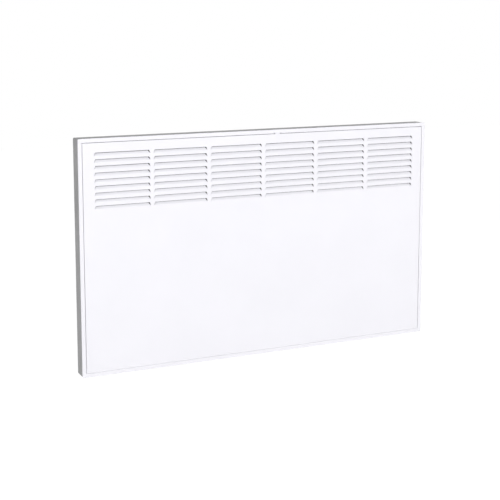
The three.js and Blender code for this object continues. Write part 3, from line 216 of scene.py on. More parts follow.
# %% [markdown]
# ## Materials: how they are built
# Each finish is a small node tree round one Principled shader. The patterns read Object
# coordinates, which are metres here, so a scale of 1000 makes features about a millimetre wide. A
# class starts the tree and has short functions that add nodes, so that each finish below reads as a
# recipe.


# %% A small kit for node trees
class Finish:
    """One material: its shader, and helpers that add and link nodes."""

    def __init__(self, name, metallic=0.0, radius=0.0):
        self.material = bpy.data.materials.new(name)
        self.material.use_nodes = True
        self.tree = self.material.node_tree
        self.shader = self.tree.nodes["Principled BSDF"]
        self.shader.inputs["Metallic"].default_value = metallic
        self.place = self.tree.nodes.new("ShaderNodeTexCoord").outputs["Object"]
        self.normal = None
        if radius:
            edge = self.tree.nodes.new("ShaderNodeBevel")
            edge.samples = 4
            edge.inputs["Radius"].default_value = radius
            self.normal = edge.outputs["Normal"]
            self.tree.links.new(self.normal, self.shader.inputs["Normal"])

    def stretched(self, scale):
        """Object coordinates multiplied along each axis."""
        node = self.tree.nodes.new("ShaderNodeMapping")
        node.inputs["Scale"].default_value = scale
        self.tree.links.new(self.place, node.inputs["Vector"])
        return node.outputs[0]

    def noise(self, scale, detail=2.0, vector=None):
        node = self.tree.nodes.new("ShaderNodeTexNoise")
        node.inputs["Scale"].default_value = scale
        node.inputs["Detail"].default_value = detail
        self.tree.links.new(vector or self.place, node.inputs["Vector"])
        return node.outputs["Fac"]

    def crystals(self, scale):
        """A grey value for each cell of a cracked pattern."""
        node = self.tree.nodes.new("ShaderNodeTexVoronoi")
        node.inputs["Scale"].default_value = scale
        self.tree.links.new(self.place, node.inputs["Vector"])
        split = self.tree.nodes.new("ShaderNodeSeparateColor")
        self.tree.links.new(node.outputs["Color"], split.inputs[0])
        return split.outputs[0]

    def spread(self, value, low, high):
        """Carry a pattern's usual range, 0.3 to 0.7, over to low..high."""
        node = self.tree.nodes.new("ShaderNodeMapRange")
        node.inputs["From Min"].default_value = 0.3
        node.inputs["From Max"].default_value = 0.7
        node.inputs["To Min"].default_value = low
        node.inputs["To Max"].default_value = high
        self.tree.links.new(value, node.inputs["Value"])
        return node.outputs[0]

    def two_tone(self, value, first, second):
        """Colour that drifts between two near tones."""
        ramp = self.tree.nodes.new("ShaderNodeValToRGB")
        ramp.color_ramp.elements[0].position = 0.35
        ramp.color_ramp.elements[1].position = 0.65
        ramp.color_ramp.elements[0].color = (*first, 1.0)
        ramp.color_ramp.elements[1].color = (*second, 1.0)
        self.tree.links.new(value, ramp.inputs[0])
        self.tree.links.new(ramp.outputs[0], self.shader.inputs["Base Color"])

    def rough(self, value, low, high):
        self.tree.links.new(self.spread(value, low, high), self.shader.inputs["Roughness"])

    def bump(self, value, depth, strength):
        """Relief of about `depth` metres; calls stack on each other."""
        node = self.tree.nodes.new("ShaderNodeBump")
        node.inputs["Strength"].default_value = strength
        node.inputs["Distance"].default_value = depth
        self.tree.links.new(value, node.inputs["Height"])
        if self.normal:
            self.tree.links.new(self.normal, node.inputs["Normal"])
        self.normal = node.outputs[0]
        self.tree.links.new(self.normal, self.shader.inputs["Normal"])


finishes = {}
print("material kit ready")

# %% [markdown]
# ## Powder coat
# The front is white powder coat and the casing grey. Powder flows before it cures, which leaves a
# very faint orange peel of one to two millimetres, seen only in the gloss, and it rounds every edge
# by a few tenths. The Bevel node rounds the edges in the shading alone. The peel is a noise bump
# far shallower than it is wide. Two broader noises change the tone and the gloss a little.


# %% White and grey powder coat
def powder_coat(name, first, second, low, high):
    """Paint between two tones, whose roughness wanders from `low` to `high`."""
    coat = Finish(name, radius=0.0005)
    coat.two_tone(coat.noise(scale=9.0, detail=3.0), first, second)
    coat.rough(coat.noise(scale=60.0), low, high)
    coat.bump(coat.noise(scale=620.0), depth=0.00006, strength=0.5)
    coat.shader.inputs["Specular IOR Level"].default_value = 0.35
    return coat.material


finishes["white_paint"] = powder_coat(
    "white_powder_coat", (0.900, 0.893, 0.940), (0.915, 0.908, 0.955), 0.34, 0.46)
finishes["grey_paint"] = powder_coat(
    "grey_powder_coat", (0.355, 0.355, 0.362), (0.380, 0.380, 0.387), 0.42, 0.55)
print("coats:", sorted(finishes))

# %% [markdown]
# ## Sheet metals
# The back and the duct's cheeks are hot-dip galvanised: zinc freezes in flat crystals a few
# millimetres wide, each of which reflects a little differently. Voronoi cells give each crystal its
# own tone and roughness. Inside the duct the zinc is painted much darker, as painted shade for the
# deep inside of the case. The bracket is bent from plated strip and the shield is aluminised sheet.
# Their only pattern is fine streaks along the rolling direction, so the noise is stretched, upright
# for the bracket and along X for the shield. The deflector behind the louvres is painted near-black
# and matt: painted shade, which keeps the openings dark. Its tone and gloss wander a little.


# %% Galvanised, plated and aluminised sheet, and a near-black coat for painted shade
def galvanised_sheet(name, first, second, low, high):
    """Zinc crystals between two tones and two roughnesses."""
    sheet = Finish(name, metallic=1.0, radius=0.0004)
    cells = sheet.crystals(scale=230.0)
    sheet.two_tone(cells, first, second)
    sheet.rough(cells, low, high)
    sheet.bump(sheet.noise(scale=90.0, detail=4.0), depth=0.0001, strength=0.35)
    return sheet.material


def rolled_sheet(name, scale, first, second, low, high, depth, strength):
    """Streaked sheet; `scale` is smallest along the rolling direction."""
    sheet = Finish(name, metallic=1.0, radius=0.0003)
    streaks = sheet.noise(scale=1.0, detail=3.0, vector=sheet.stretched(scale))
    sheet.two_tone(streaks, first, second)
    sheet.rough(streaks, low, high)
    sheet.bump(streaks, depth, strength)
    return sheet.material


# The deflector's near-black matt coat is painted shade: it keeps the openings in the louvres dark.
def painted_shade_coat():
    coat = Finish("painted_shade_coat", radius=0.0003)
    coat.two_tone(coat.noise(scale=14.0, detail=4.0), (0.020, 0.020, 0.021), (0.032, 0.031, 0.030))
    coat.rough(coat.noise(scale=90.0), 0.66, 0.86)
    coat.bump(coat.noise(scale=900.0), depth=0.00005, strength=0.6)
    return coat.material


finishes["dark_coat"] = painted_shade_coat()
finishes["galvanised_steel"] = galvanised_sheet(
    "galvanised_spangle", (0.52, 0.54, 0.56), (0.59, 0.61, 0.62), 0.41, 0.47)
# Much darker zinc for the cheeks and the inside of the duct: painted shade for the deep inside of
# the case.
duct_shade_zinc = galvanised_sheet(
    "shade_darkened_zinc", (0.13, 0.13, 0.13), (0.18, 0.175, 0.17), 0.60, 0.75)
finishes["aluminised_steel"] = rolled_sheet(
    "aluminised_sheet", (9.0, 420.0, 420.0), (0.60, 0.61, 0.62), (0.70, 0.71, 0.72),
    0.30, 0.44, depth=0.00003, strength=0.6)
bracket_strip = rolled_sheet(
    "plated_strip", (700.0, 700.0, 9.0), (0.67, 0.68, 0.68), (0.72, 0.725, 0.72),
    0.28, 0.40, depth=0.00002, strength=0.5)
print("sheet metals done")

# %% [markdown]
# ## Element, ceramic and small metals
# The element is extruded, so its die lines run along X, and it has no coat. The bushes are unglazed
# ceramic, dull and slightly speckled. Screws and clips are zinc plated: a thin bright layer with a
# faint cloudiness. The sensor is drawn copper, a little darker where it has been handled.


# %% Extruded aluminium, ceramic, zinc plate and copper
def extruded_aluminium():
    metal = Finish("extruded_aluminium", metallic=1.0, radius=0.0003)
    lines = metal.noise(scale=1.0, vector=metal.stretched((3.0, 900.0, 900.0)))
    metal.two_tone(metal.noise(scale=40.0), (0.50, 0.51, 0.52), (0.60, 0.61, 0.62))
    metal.rough(lines, 0.38, 0.56)
    metal.bump(lines, depth=0.00004, strength=0.7)
    return metal.material


def unglazed_ceramic():
    body = Finish("unglazed_ceramic", radius=0.0005)
    body.shader.inputs["Roughness"].default_value = 0.75
    body.two_tone(body.noise(scale=900.0, detail=4.0), (0.70, 0.66, 0.58), (0.83, 0.80, 0.73))
    body.bump(body.noise(scale=1600.0), depth=0.00005, strength=0.6)
    return body.material


def zinc_plate():
    metal = Finish("zinc_plate", metallic=1.0, radius=0.0002)
    cloud = metal.noise(scale=260.0, detail=3.0)
    metal.two_tone(cloud, (0.58, 0.60, 0.60), (0.70, 0.70, 0.66))
    metal.rough(cloud, 0.24, 0.40)
    return metal.material


def drawn_copper():
    metal = Finish("drawn_copper", metallic=1.0)
    cloud = metal.noise(scale=120.0, detail=3.0)
    metal.two_tone(cloud, (0.52, 0.25, 0.12), (0.72, 0.38, 0.20))
    metal.rough(cloud, 0.28, 0.48)
    return metal.material


finishes["cast_aluminium"] = extruded_aluminium()
finishes["ceramic"] = unglazed_ceramic()
finishes["zinc_plate"] = zinc_plate()
finishes["copper_tube"] = drawn_copper()
print("small metals done")

# %% [markdown]
# ## Plastics, rubber and lead sleeving
# Moulded plastic takes the grain of its mould, here spark-eroded to about a fifth of a millimetre.
# Rubber is duller and slightly dusty. The leads' silicone sleeving is soft and satin. One recipe
# serves them all: two near tones, a roughness that wanders, and a grain of its own size.


# %% Moulded finishes
def moulded(name, first, second, grain, depth, low, high):
    """Two tones, a grain of that scale and depth, and a roughness from `low` to `high`."""
    body = Finish(name, radius=0.0003)
    body.two_tone(body.noise(scale=70.0, detail=3.0), first, second)
    body.rough(body.noise(scale=300.0), low, high)
    body.bump(body.noise(scale=grain, detail=1.0), depth=depth, strength=0.6)
    return body.material


finishes["dark_plastic"] = moulded(
    "black_moulded", (0.022, 0.022, 0.024), (0.034, 0.034, 0.037), 4200.0, 0.00003, 0.42, 0.56)
finishes["white_plastic"] = moulded(
    "white_moulded", (0.78, 0.76, 0.71), (0.84, 0.82, 0.77), 4200.0, 0.00002, 0.36, 0.48)
finishes["rubber_pad"] = moulded(
    "black_rubber", (0.016, 0.016, 0.016), (0.035, 0.034, 0.033), 2200.0, 0.00005, 0.72, 0.88)
finishes["brown_lead"] = moulded(
    "brown_sleeving", (0.11, 0.045, 0.018), (0.15, 0.065, 0.028), 1500.0, 0.00002, 0.48, 0.62)
finishes["black_lead"] = moulded(
    "black_sleeving", (0.018, 0.018, 0.018), (0.03, 0.03, 0.03), 1500.0, 0.00002, 0.48, 0.62)
finishes["blue_lead"] = moulded(
    "blue_sleeving", (0.018, 0.06, 0.22), (0.025, 0.08, 0.28), 1500.0, 0.00002, 0.48, 0.62)
finishes["green_lead"] = moulded(
    "green_sleeving", (0.06, 0.20, 0.03), (0.10, 0.28, 0.05), 1500.0, 0.00002, 0.48, 0.62)
print("finishes:", len(finishes))

# %% [markdown]
# ## Dress the CAD pieces
# The record names a material slot for each node. Each node gets the finish of its slot, and keeps
# its mesh. The bracket and the duct's cheeks share the back's slot, but the bracket's zinc is the
# smoother, plated kind. The cheeks and the room side of the back pan's sheet get the much darker
# zinc, which is painted shade for the inside of the case.

# %% Assign the finishes
slot_of = {part["node"]: part["material_slot"] for part in frame["record"]["subparts"]}
for name, node in nodes.items():
    node.data.materials.clear()
    node.data.materials.append(finishes[slot_of[name]])
nodes["wall_bracket"].data.materials[0] = bracket_strip
for name in ("duct_cheek_left", "duct_cheek_right"):
    nodes[name].data.materials[0] = duct_shade_zinc
pan = nodes["back_pan"].data
pan.materials.append(duct_shade_zinc)
# Pan faces turned along -Y beyond this look into the duct and get the darker zinc: painted shade.
shade_facing_limit = -0.5  # normals beyond this along Y look into the duct
for face in pan.polygons:
    face.material_index = 1 if face.normal.y < shade_facing_limit else 0
print("dressed:", len(slot_of), "nodes")

# %% [markdown]
# ## Screws
# Pan-head screws with a cross recess. A lathe alone can't make the recess, so the head starts as a
# flat grid of three by three cells. The five cells of the cross are pushed down for the recess, and
# the grid's rim is extruded outwards into rings that become the domed head, and then the shank.
# A short function does it once, and each screw is a turned copy of it.


# %% Helpers for every new piece
def finish_piece(made, body, slot, *replaced):
    """Give a piece its finish, let it ride on its body and hide the nodes that it stands for."""
    made.data.materials.clear()
    made.data.materials.append(finishes[slot])
    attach(made, body)
    if replaced:
        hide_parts(*replaced)
    return made


def absorb(shape, piece, matrix):
    """Add a small bmesh to a bigger one, in its place."""
    bmesh.ops.transform(piece, matrix=matrix, verts=piece.verts)
    scratch = bpy.data.meshes.new("scratch")
    piece.to_mesh(scratch)
    piece.free()
    shape.from_mesh(scratch)
    bpy.data.meshes.remove(scratch)


def block(size, middle=(0, 0, 0)):
    """A box of that size round that point."""
    shape = bmesh.new()
    bmesh.ops.create_cube(shape, size=1.0)
    bmesh.ops.scale(shape, vec=size, verts=shape.verts)
    bmesh.ops.translate(shape, vec=middle, verts=shape.verts)
    return shape


def pull(shape, faces, way):
    """Extrude faces and move the new ones along `way`."""
    made = bmesh.ops.extrude_face_region(shape, geom=faces)["geom"]
    corners = [g for g in made if isinstance(g, bmesh.types.BMVert)]
    bmesh.ops.translate(shape, verts=corners, vec=way)


def soften(shape, edges, offset, segments):
    bmesh.ops.bevel(shape, geom=edges, offset=offset, offset_type="OFFSET", segments=segments,
                    profile=0.5, affect="EDGES", material=-1, clamp_overlap=True)


# Z becomes X, X becomes Y and Y becomes Z
towards_right = Matrix(((0, 0, 1, 0), (1, 0, 0, 0), (0, 1, 0, 0), (0, 0, 0, 1)))

# %% Make one screw
head_height, shank = 0.0019, 0.0017
cross_half, cross_depth = 0.13, 0.55  # shares of the head's radius and of its height
dome = ((0.62, 0.99), (0.84, 0.84), (0.97, 0.52), (1.0, 0.12), (0.97, 0.0))  # the same shares
taper, point = 1.5, 0.15  # length and end radius of the tip, as shares of the shank


def ring_of(shape, edges, radius, height):
    """Extrude boundary edges into a circle at that height, and return the new edges."""
    out = bmesh.ops.extrude_edge_only(shape, edges=edges)["geom"]
    for corner in [g for g in out if isinstance(g, bmesh.types.BMVert)]:
        flat = Vector((corner.co.x, corner.co.y)).normalized() * radius
        corner.co = (flat.x, flat.y, height)
    return [g for g in out if isinstance(g, bmesh.types.BMEdge)]


def screw_shape(head, length):
    """A screw whose seat is at z = 0 and whose head, of radius `head`, points to +Z."""
    shape = bmesh.new()
    bmesh.ops.create_grid(shape, x_segments=3, y_segments=3, size=0.5 * head)
    for corner in shape.verts:
        for axis in (0, 1):
            if abs(corner.co[axis]) < 0.4 * head:
                corner.co[axis] = math.copysign(cross_half * head, corner.co[axis])
        corner.co.z = head_height
    cross = [f for f in shape.faces if min(abs(f.calc_center_median()[i]) for i in (0, 1)) < 1e-6]
    ring = [e for e in shape.edges if e.is_boundary]
    rings = [(radius * head, height * head_height) for radius, height in dome]
    rings += [(shank, 0.0), (shank, taper * shank - length), (point * shank, -length)]
    for radius, height in rings:
        ring = ring_of(shape, ring, radius, height)
    bmesh.ops.edgeloop_fill(shape, edges=ring)
    pull(shape, cross, (0, 0, -cross_depth * head_height))
    bmesh.ops.delete(shape, geom=cross, context="FACES")
    bmesh.ops.recalc_face_normals(shape, faces=shape.faces)
    return shape


# %% Set the screws
first_turn, next_turn = 37, 53  # degrees, so that no two crosses stand alike
tip_room = 0.0003


def screws(name, family, outward):
    """One mesh for a family of like screws, whose heads face `outward`."""
    members = sorted(n for n in nodes if n.startswith(family))
    way = Vector(outward)
    turn = way.to_track_quat("Z", "Y").to_matrix().to_4x4()
    shape = bmesh.new()
    for number, node in enumerate(members):
        low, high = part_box(node)
        size = high - low
        top = (low + high) / 2 + Vector([way[i] * size[i] / 2 for i in range(3)])
        one = screw_shape(min(size) / 2, max(size) - head_height - tip_room)
        spin = Matrix.Rotation(math.radians(first_turn + next_turn * number), 4, "Z")
        seat = Matrix.Translation(top - way * head_height)
        absorb(shape, one, seat @ turn @ spin)
    made = finish_piece(mesh_object(name, shape), "heater", "zinc_plate", *members)
    print(name, "stands for", len(members), "nodes,", len(made.data.polygons), "faces")


screws("back_screws", "rear_screw_", (0, 1, 0))
screws("duct_screws", "cheek_screw_", (0, 1, 0))
screws("under_screws", "front_screw_", (0, 0, -1))
screws("plate_screws", "fascia_screw_", (1, 0, 0))

# %% [markdown]
# ## Thermostat knob
# The knob is a skirt with a fluted grip, moulded in one. Everything starts from one circle of 72
# corners, so that all rings share their angles: extrude it for the skirt, inset it to the grip's
# outline, pull every sixth corner in for the flutes, extrude again, and sink the top a little. The
# pointer is a separate dark inlay, which shows how far the knob has turned.

# %% Where the knob is
knob_low, knob_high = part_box("thermostat_knob")
knob_middle = (knob_low + knob_high) / 2
knob_rest = math.radians(135)  # how far the pointer stands from straight up
point_y, point_z = -math.sin(knob_rest), math.cos(knob_rest)
knob_place = Matrix((
    (0, 0, 1, knob_low.x),
    (point_z, point_y, 0, knob_middle.y),
    (-point_y, point_z, 0, knob_middle.z),
    (0, 0, 0, 1)))
print("knob stands out", round((knob_high.x - knob_low.x) * 1000, 1), "mm")


# %% Helpers for solids grown from one face
def grow(shape, face, lift):
    """Extrude one face along its local Z and return the new end face."""
    made = bmesh.ops.extrude_face_region(shape, geom=[face])["geom"]
    bmesh.ops.delete(shape, geom=[face], context="FACES_ONLY")
    end = next(g for g in made if isinstance(g, bmesh.types.BMFace))
    bmesh.ops.translate(shape, verts=end.verts, vec=(0, 0, lift))
    return end


def set_radius(face, radius_at):
    """Move the corners of a round face to the radius that `radius_at` gives for each angle."""
    for corner in face.verts:
        angle = math.atan2(corner.co.y, corner.co.x)
        radius = radius_at(angle)
        corner.co.x, corner.co.y = radius * math.cos(angle), radius * math.sin(angle)


# %% Make the knob
skirt_radius, skirt_height = 0.0112, 0.0030
grip_foot_radius, grip_top_radius, grip_height = 0.0094, 0.0091, 0.0094
flute_depth, flute_count = 0.0009, 12
dish_rim, dish_floor, dish_depth = 0.0072, 0.0068, 0.0004
knob_edge = 0.0007


def fluted(base):
    """The outline of the grip, by angle."""
    return lambda angle: base - flute_depth * max(0.0, math.cos(flute_count * angle)) ** 3


knob_shape = bmesh.new()
bmesh.ops.create_circle(knob_shape, cap_ends=True, segments=72, radius=skirt_radius)
knob_shape.faces.ensure_lookup_table()
skirt_top = grow(knob_shape, knob_shape.faces[0], skirt_height)
bmesh.ops.contextual_create(knob_shape, geom=[e for e in knob_shape.edges if e.is_boundary])
skirt_rim = list(skirt_top.edges)
grip_foot = grow(knob_shape, skirt_top, 0.0)
set_radius(grip_foot, fluted(grip_foot_radius))
grip_top = grow(knob_shape, grip_foot, grip_height)
set_radius(grip_top, fluted(grip_top_radius))
grip_rim = list(grip_top.edges)
dish = grow(knob_shape, grip_top, 0.0)
set_radius(dish, lambda angle: dish_rim)
dish = grow(knob_shape, dish, -dish_depth)
set_radius(dish, lambda angle: dish_floor)
soften(knob_shape, skirt_rim, knob_edge, 3)
soften(knob_shape, grip_rim, knob_edge, 3)
bmesh.ops.recalc_face_normals(knob_shape, faces=knob_shape.faces)
bmesh.ops.transform(knob_shape, matrix=knob_place, verts=knob_shape.verts)
knob = finish_piece(
    mesh_object("knob", knob_shape), "knob", "white_plastic", "thermostat_knob")
print("knob faces:", len(knob.data.polygons))

# %% Inlay the pointer
pointer_length, pointer_thick = 0.0056, 0.0012
pointer_shape = block((pointer_thick, pointer_length, pointer_thick), (0, 0.0058, 0.0122))
soften(pointer_shape, list(pointer_shape.edges), 0.0003, 3)
bmesh.ops.transform(pointer_shape, matrix=knob_place, verts=pointer_shape.verts)
finish_piece(mesh_object("knob_pointer", pointer_shape), "knob", "dark_plastic")
print("pointer inlaid,", round(pointer_length * 1000, 1), "mm long")

# %% [markdown]
# ## Printed marks
# The control plate carries a ring of strokes round the knob with a few plain numbers, and the
# rocker has the usual stroke and circle for on and off. They are pad-printed ink, so each is a skin
# less than a tenth of a millimetre thick. Text becomes a mesh before it is put in place. The font's
# own triangles can be needles of no area, so the flat faces are filled afresh.

# %% Ink, and a helper for text
finishes["ink"] = moulded(
    "printed_ink", (0.045, 0.045, 0.05), (0.07, 0.07, 0.075), 900.0, 0.00001, 0.5, 0.6)
finishes["white_ink"] = moulded(
    "white_ink", (0.72, 0.72, 0.70), (0.80, 0.80, 0.78), 900.0, 0.00001, 0.5, 0.6)
ink_proud = 0.00008


def lettering(word, size):
    """A word as a thin solid, centred, facing +Z."""
    curve = bpy.data.curves.new("lettering", "FONT")
    curve.body, curve.size, curve.extrude = word, size, ink_proud / 2
    curve.align_x, curve.align_y = "CENTER", "CENTER"
    curve.resolution_u = 4
    holder = bpy.data.objects.new("lettering", curve)
    bpy.context.scene.collection.objects.link(holder)
    bpy.context.view_layer.update()
    graph = bpy.context.evaluated_depsgraph_get()
    flat = bpy.data.meshes.new_from_object(holder.evaluated_get(graph))
    letters = bmesh.new()
    letters.from_mesh(flat)
    bmesh.ops.remove_doubles(letters, verts=letters.verts, dist=1e-6)
    flats = [f for f in letters.faces if len({round(v.co.z, 7) for v in f.verts}) == 1]
    inner = [e for e in letters.edges if len(e.link_faces) == 2 and set(e.link_faces) <= set(flats)]
    bmesh.ops.beautify_fill(letters, faces=flats, edges=inner)
    bpy.data.objects.remove(holder)
    bpy.data.meshes.remove(flat)
    return letters


# %% Print the dial
plate_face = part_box("control_fascia")[1].x
on_plate = Matrix.Translation((plate_face + ink_proud / 2, knob_middle.y, knob_middle.z))
stroke_width, stroke_from = 0.00028, 0.0119
long_stroke, short_stroke = 0.0011, 0.0006
number_radius, number_size = 0.0143, 0.0026
dial_start, dial_step = -135, 22.5  # degrees
dial_shape = bmesh.new()
for step in range(13):
    height = short_stroke if step % 2 else long_stroke
    stroke = block((stroke_width, height, ink_proud), (0, stroke_from + height / 2, 0))
    turn = Matrix.Rotation(-math.radians(dial_start + dial_step * step), 4, "Z")
    absorb(dial_shape, stroke, on_plate @ towards_right @ turn)
for word, degrees in (("1", -135), ("3", -45), ("4", 0), ("5", 45), ("7", 135)):
    angle = math.radians(degrees)
    place = Matrix.Translation((
        plate_face + ink_proud / 2, knob_middle.y + number_radius * math.sin(angle),
        knob_middle.z + number_radius * math.cos(angle)))
    absorb(dial_shape, lettering(word, number_size), place @ towards_right)
dial = finish_piece(mesh_object("dial_marks", dial_shape), "heater", "dark_plastic")
dial.data.materials[0] = finishes["ink"]
print("dial faces:", len(dial.data.polygons))

# %% [markdown]
# ## Switch rocker
# The rocker's top is dished so that a finger finds its two ends, and its underside is round because
# it turns about a pin. A circle with a lid gives both: the lower half stays round, and the upper
# half is moved to the dish. It is then extruded to its width and its edges are softened.

# %% Make the rocker
housing_low, housing_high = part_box("switch_housing")
rocker_low, rocker_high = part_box("power_rocker")
rocker_middle = (rocker_low + rocker_high) / 2
pivot_depth, pivot_rise = 0.0048, 0.0125  # below the bezel, and above the housing's foot
rocker_pivot = Vector((
    housing_high.x - pivot_depth, rocker_middle.y, housing_low.z + pivot_rise))
rocker_tilt = Matrix.Rotation(math.radians(8), 4, "Y")
rocker_place = Matrix.Translation(rocker_pivot) @ rocker_tilt
rocker_half, rocker_crown, rocker_dip = 0.0082, 0.0064, 0.0046
belly_half, belly_reach, belly_level = 0.0076, 0.0047, 0.0005
rocker_width = 0.0104
rocker_steps = 48
sharp = 0.9  # radians; edges that turn more than this are softened


def dish_height(z):
    return rocker_dip + (rocker_crown - rocker_dip) * (z / rocker_half) ** 2


rocker_shape = bmesh.new()
bmesh.ops.create_circle(rocker_shape, cap_ends=True, segments=rocker_steps, radius=1.0)
for corner in rocker_shape.verts:
    angle = math.atan2(corner.co.y, corner.co.x)
    step = round(angle * rocker_steps / (2 * math.pi))
    if 0 < step < rocker_steps // 2:
        along = rocker_half * (1 - 2 * (step - 1) / (rocker_steps // 2 - 2))
        corner.co = (dish_height(along), 0.0, along)
    else:
        corner.co = (
            belly_level + belly_reach * math.sin(angle), 0.0, belly_half * math.cos(angle))
pull(rocker_shape, list(rocker_shape.faces), (0, rocker_width, 0))
bmesh.ops.translate(rocker_shape, verts=rocker_shape.verts, vec=(0, -rocker_width / 2, 0))
bmesh.ops.recalc_face_normals(rocker_shape, faces=rocker_shape.faces)
rocker_rim = [
    e for e in rocker_shape.edges if len(e.link_faces) == 2 and e.calc_face_angle() > sharp]
soften(rocker_shape, rocker_rim, 0.0004, 3)
bmesh.ops.transform(rocker_shape, matrix=rocker_place, verts=rocker_shape.verts)
rocker = finish_piece(
    mesh_object("rocker", rocker_shape), "rocker", "dark_plastic", "power_rocker")
print("rocker pivot (mm):", [round(c * 1000, 2) for c in rocker_pivot],
      "faces:", len(rocker.data.polygons))


# %% Print the stroke and the circle
def sign_place(z):
    """Turn and place for a sign on the dish, `z` above its middle."""
    slope = 2 * (rocker_crown - rocker_dip) * z / rocker_half ** 2
    on_dish = Matrix.Translation((dish_height(z) + ink_proud / 2, 0, z))
    return rocker_place @ on_dish @ Matrix.Rotation(math.atan(slope), 4, "Y") @ towards_right


sign_rise, sign_height, sign_line = 0.0047, 0.0026, 0.00045
sign_shape = bmesh.new()
absorb(sign_shape, block((sign_line, sign_height, ink_proud)), sign_place(sign_rise))
circle = bmesh.new()
bmesh.ops.create_circle(circle, cap_ends=True, segments=32, radius=sign_height / 2)
bmesh.ops.inset_individual(circle, faces=list(circle.faces), thickness=0.0004)
hole = min(circle.faces, key=lambda f: f.calc_center_median().length)
bmesh.ops.delete(circle, geom=[hole], context="FACES")
bmesh.ops.solidify(circle, geom=list(circle.faces), thickness=ink_proud)
absorb(sign_shape, circle, sign_place(-sign_rise))
bmesh.ops.recalc_face_normals(sign_shape, faces=sign_shape.faces)
signs = finish_piece(mesh_object("rocker_signs", sign_shape), "rocker", "white_plastic")
signs.data.materials[0] = finishes["white_ink"]
print("rocker signs:", len(signs.data.polygons), "faces")

# %% [markdown]
# ## Cord gland
# The gland grips the cord where it enters the case: a dome outside, a nut inside, and a soft
# sealing ring in its mouth. All three are turned, so each profile is spun about the upright axis. A
# hexagon is a spun ring too, whose outer corners are pulled to the six flats; where the cone of the
# chamfer is narrower than the hexagon, the cone wins, which gives the curved corners of a real nut.
# The cord itself isn't part of this model, so the bore stays open.


# %% Helpers for turned pieces
def spun(profile, steps):
    """Spin a closed outline of (radius, height) points about Z."""
    shape = bmesh.new()
    points = [shape.verts.new((radius, 0, height)) for radius, height in profile]
    edges = [shape.edges.new((a, b)) for a, b in zip(points, points[1:] + points[:1])]
    bmesh.ops.spin(shape, geom=points + edges, axis=(0, 0, 1), cent=(0, 0, 0), dvec=(0, 0, 0),
                   angle=2 * math.pi, steps=steps, use_merge=True)
    bmesh.ops.remove_doubles(shape, verts=shape.verts, dist=1e-7)
    bmesh.ops.delete(shape, geom=[e for e in shape.edges if e.is_wire], context="EDGES")
    bmesh.ops.recalc_face_normals(shape, faces=shape.faces)
    return shape


def hexagon(bore, across, low, high, chamfer):
    """A six-sided ring with chamfered ends; `across` is over the flats."""
    flat, corner_reach = across / 2, across / 2 / math.cos(math.pi / 6)
    ring = spun([(bore, low), (flat - chamfer, low), (corner_reach, low + chamfer),
                 (corner_reach, high - chamfer), (flat - chamfer, high), (bore, high)], 72)
    for corner in ring.verts:
        reach = Vector((corner.co.x, corner.co.y)).length
        if reach > flat - chamfer / 2:
            turn = math.atan2(corner.co.y, corner.co.x) % (math.pi / 3) - math.pi / 6
            scale = min(reach, flat / math.cos(turn)) / reach
            corner.co.x, corner.co.y = corner.co.x * scale, corner.co.y * scale
    return ring


# %% Turn the gland, its nut and its seal
gland_low, gland_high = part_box("cord_gland")
nut_low, nut_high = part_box("gland_nut")
gland_axis = Vector(((gland_low.x + gland_high.x) / 2, (gland_low.y + gland_high.y) / 2, 0.0))
mouth, thread_end = gland_low.z, gland_high.z
case_floor = nut_low.z - 0.0013  # underside: a sheet and a gap below the nut
bore, thread, dome_radius = 0.0042, 0.0080, 0.0090
gland_shape = spun([
    (bore, mouth), (0.0058, mouth), (0.0069, mouth + 0.0004), (thread, mouth + 0.0013),
    (0.0087, mouth + 0.0027), (dome_radius, mouth + 0.0045), (dome_radius, case_floor - 0.0010),
    (thread, case_floor - 0.0006), (thread, thread_end - 0.0006), (0.0076, thread_end),
    (bore, thread_end)], 48)
collar_shape = hexagon(bore=0.0085, across=0.020, low=case_floor - 0.0048,
                       high=case_floor - 0.0003, chamfer=0.0008)
absorb(gland_shape, collar_shape, Matrix.Identity(4))
nut_shape = hexagon(bore=0.0082, across=0.022, low=nut_low.z, high=nut_high.z, chamfer=0.0007)
seal_shape = spun([
    (0.0037, mouth + 0.0010), (0.0040, mouth + 0.0005), (bore, mouth + 0.0007),
    (bore, mouth + 0.0040), (0.0037, mouth + 0.0036)], 48)
for shape in (gland_shape, nut_shape, seal_shape):
    bmesh.ops.translate(shape, vec=gland_axis, verts=shape.verts)
finish_piece(mesh_object("gland", gland_shape), "heater", "dark_plastic", "cord_gland")
finish_piece(mesh_object("nut_inside", nut_shape), "heater", "dark_plastic", "gland_nut")
finish_piece(mesh_object("gland_seal", seal_shape), "heater", "rubber_pad")
print("gland axis (mm):", [round(c * 1000, 1) for c in gland_axis[:2]],
      "mouth at z =", round(mouth * 1000, 1))

# %% [markdown]
# ## Wall pads
# Two rubber pads keep the lower edge off the wall. They are moulded with a round rim and a shallow
# hollow in the face that meets the wall, so that they grip like a sucker. A spun profile gives
# both.

# %% Mould the pads
upright = Matrix.Rotation(math.radians(-90), 4, "X")
for side in ("left", "right"):
    pad_low, pad_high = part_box("wall_pad_" + side)
    rim, back, wall = (pad_high.x - pad_low.x) / 2, pad_low.y, pad_high.y
    pad_shape = spun([
        (0.0, back), (rim, back), (rim, wall - 0.0030), (rim - 0.0002, wall - 0.0018),
        (rim - 0.0008, wall - 0.0007), (rim - 0.0017, wall - 0.0001), (rim - 0.0026, wall),
        (rim - 0.0034, wall - 0.0002), (rim - 0.0042, wall - 0.0008), (0.0, wall - 0.0010)], 48)
    place = Matrix.Translation(((pad_low.x + pad_high.x) / 2, 0, (pad_low.z + pad_high.z) / 2))
    bmesh.ops.transform(pad_shape, matrix=place @ upright, verts=pad_shape.verts)
    finish_piece(mesh_object("pad_" + side, pad_shape), "heater", "rubber_pad", "wall_pad_" + side)
print("pads", round(rim * 2000, 1), "mm across")

# %% [markdown]
# ## Catch
# A small tongue shows in the groove above the front panel, where the panel is let go. It bridges
# the groove and lies almost flush, so that it reads as a pale break. Its section is drawn once as a
# face of a few corners, extruded to its width, and its edges are softened.

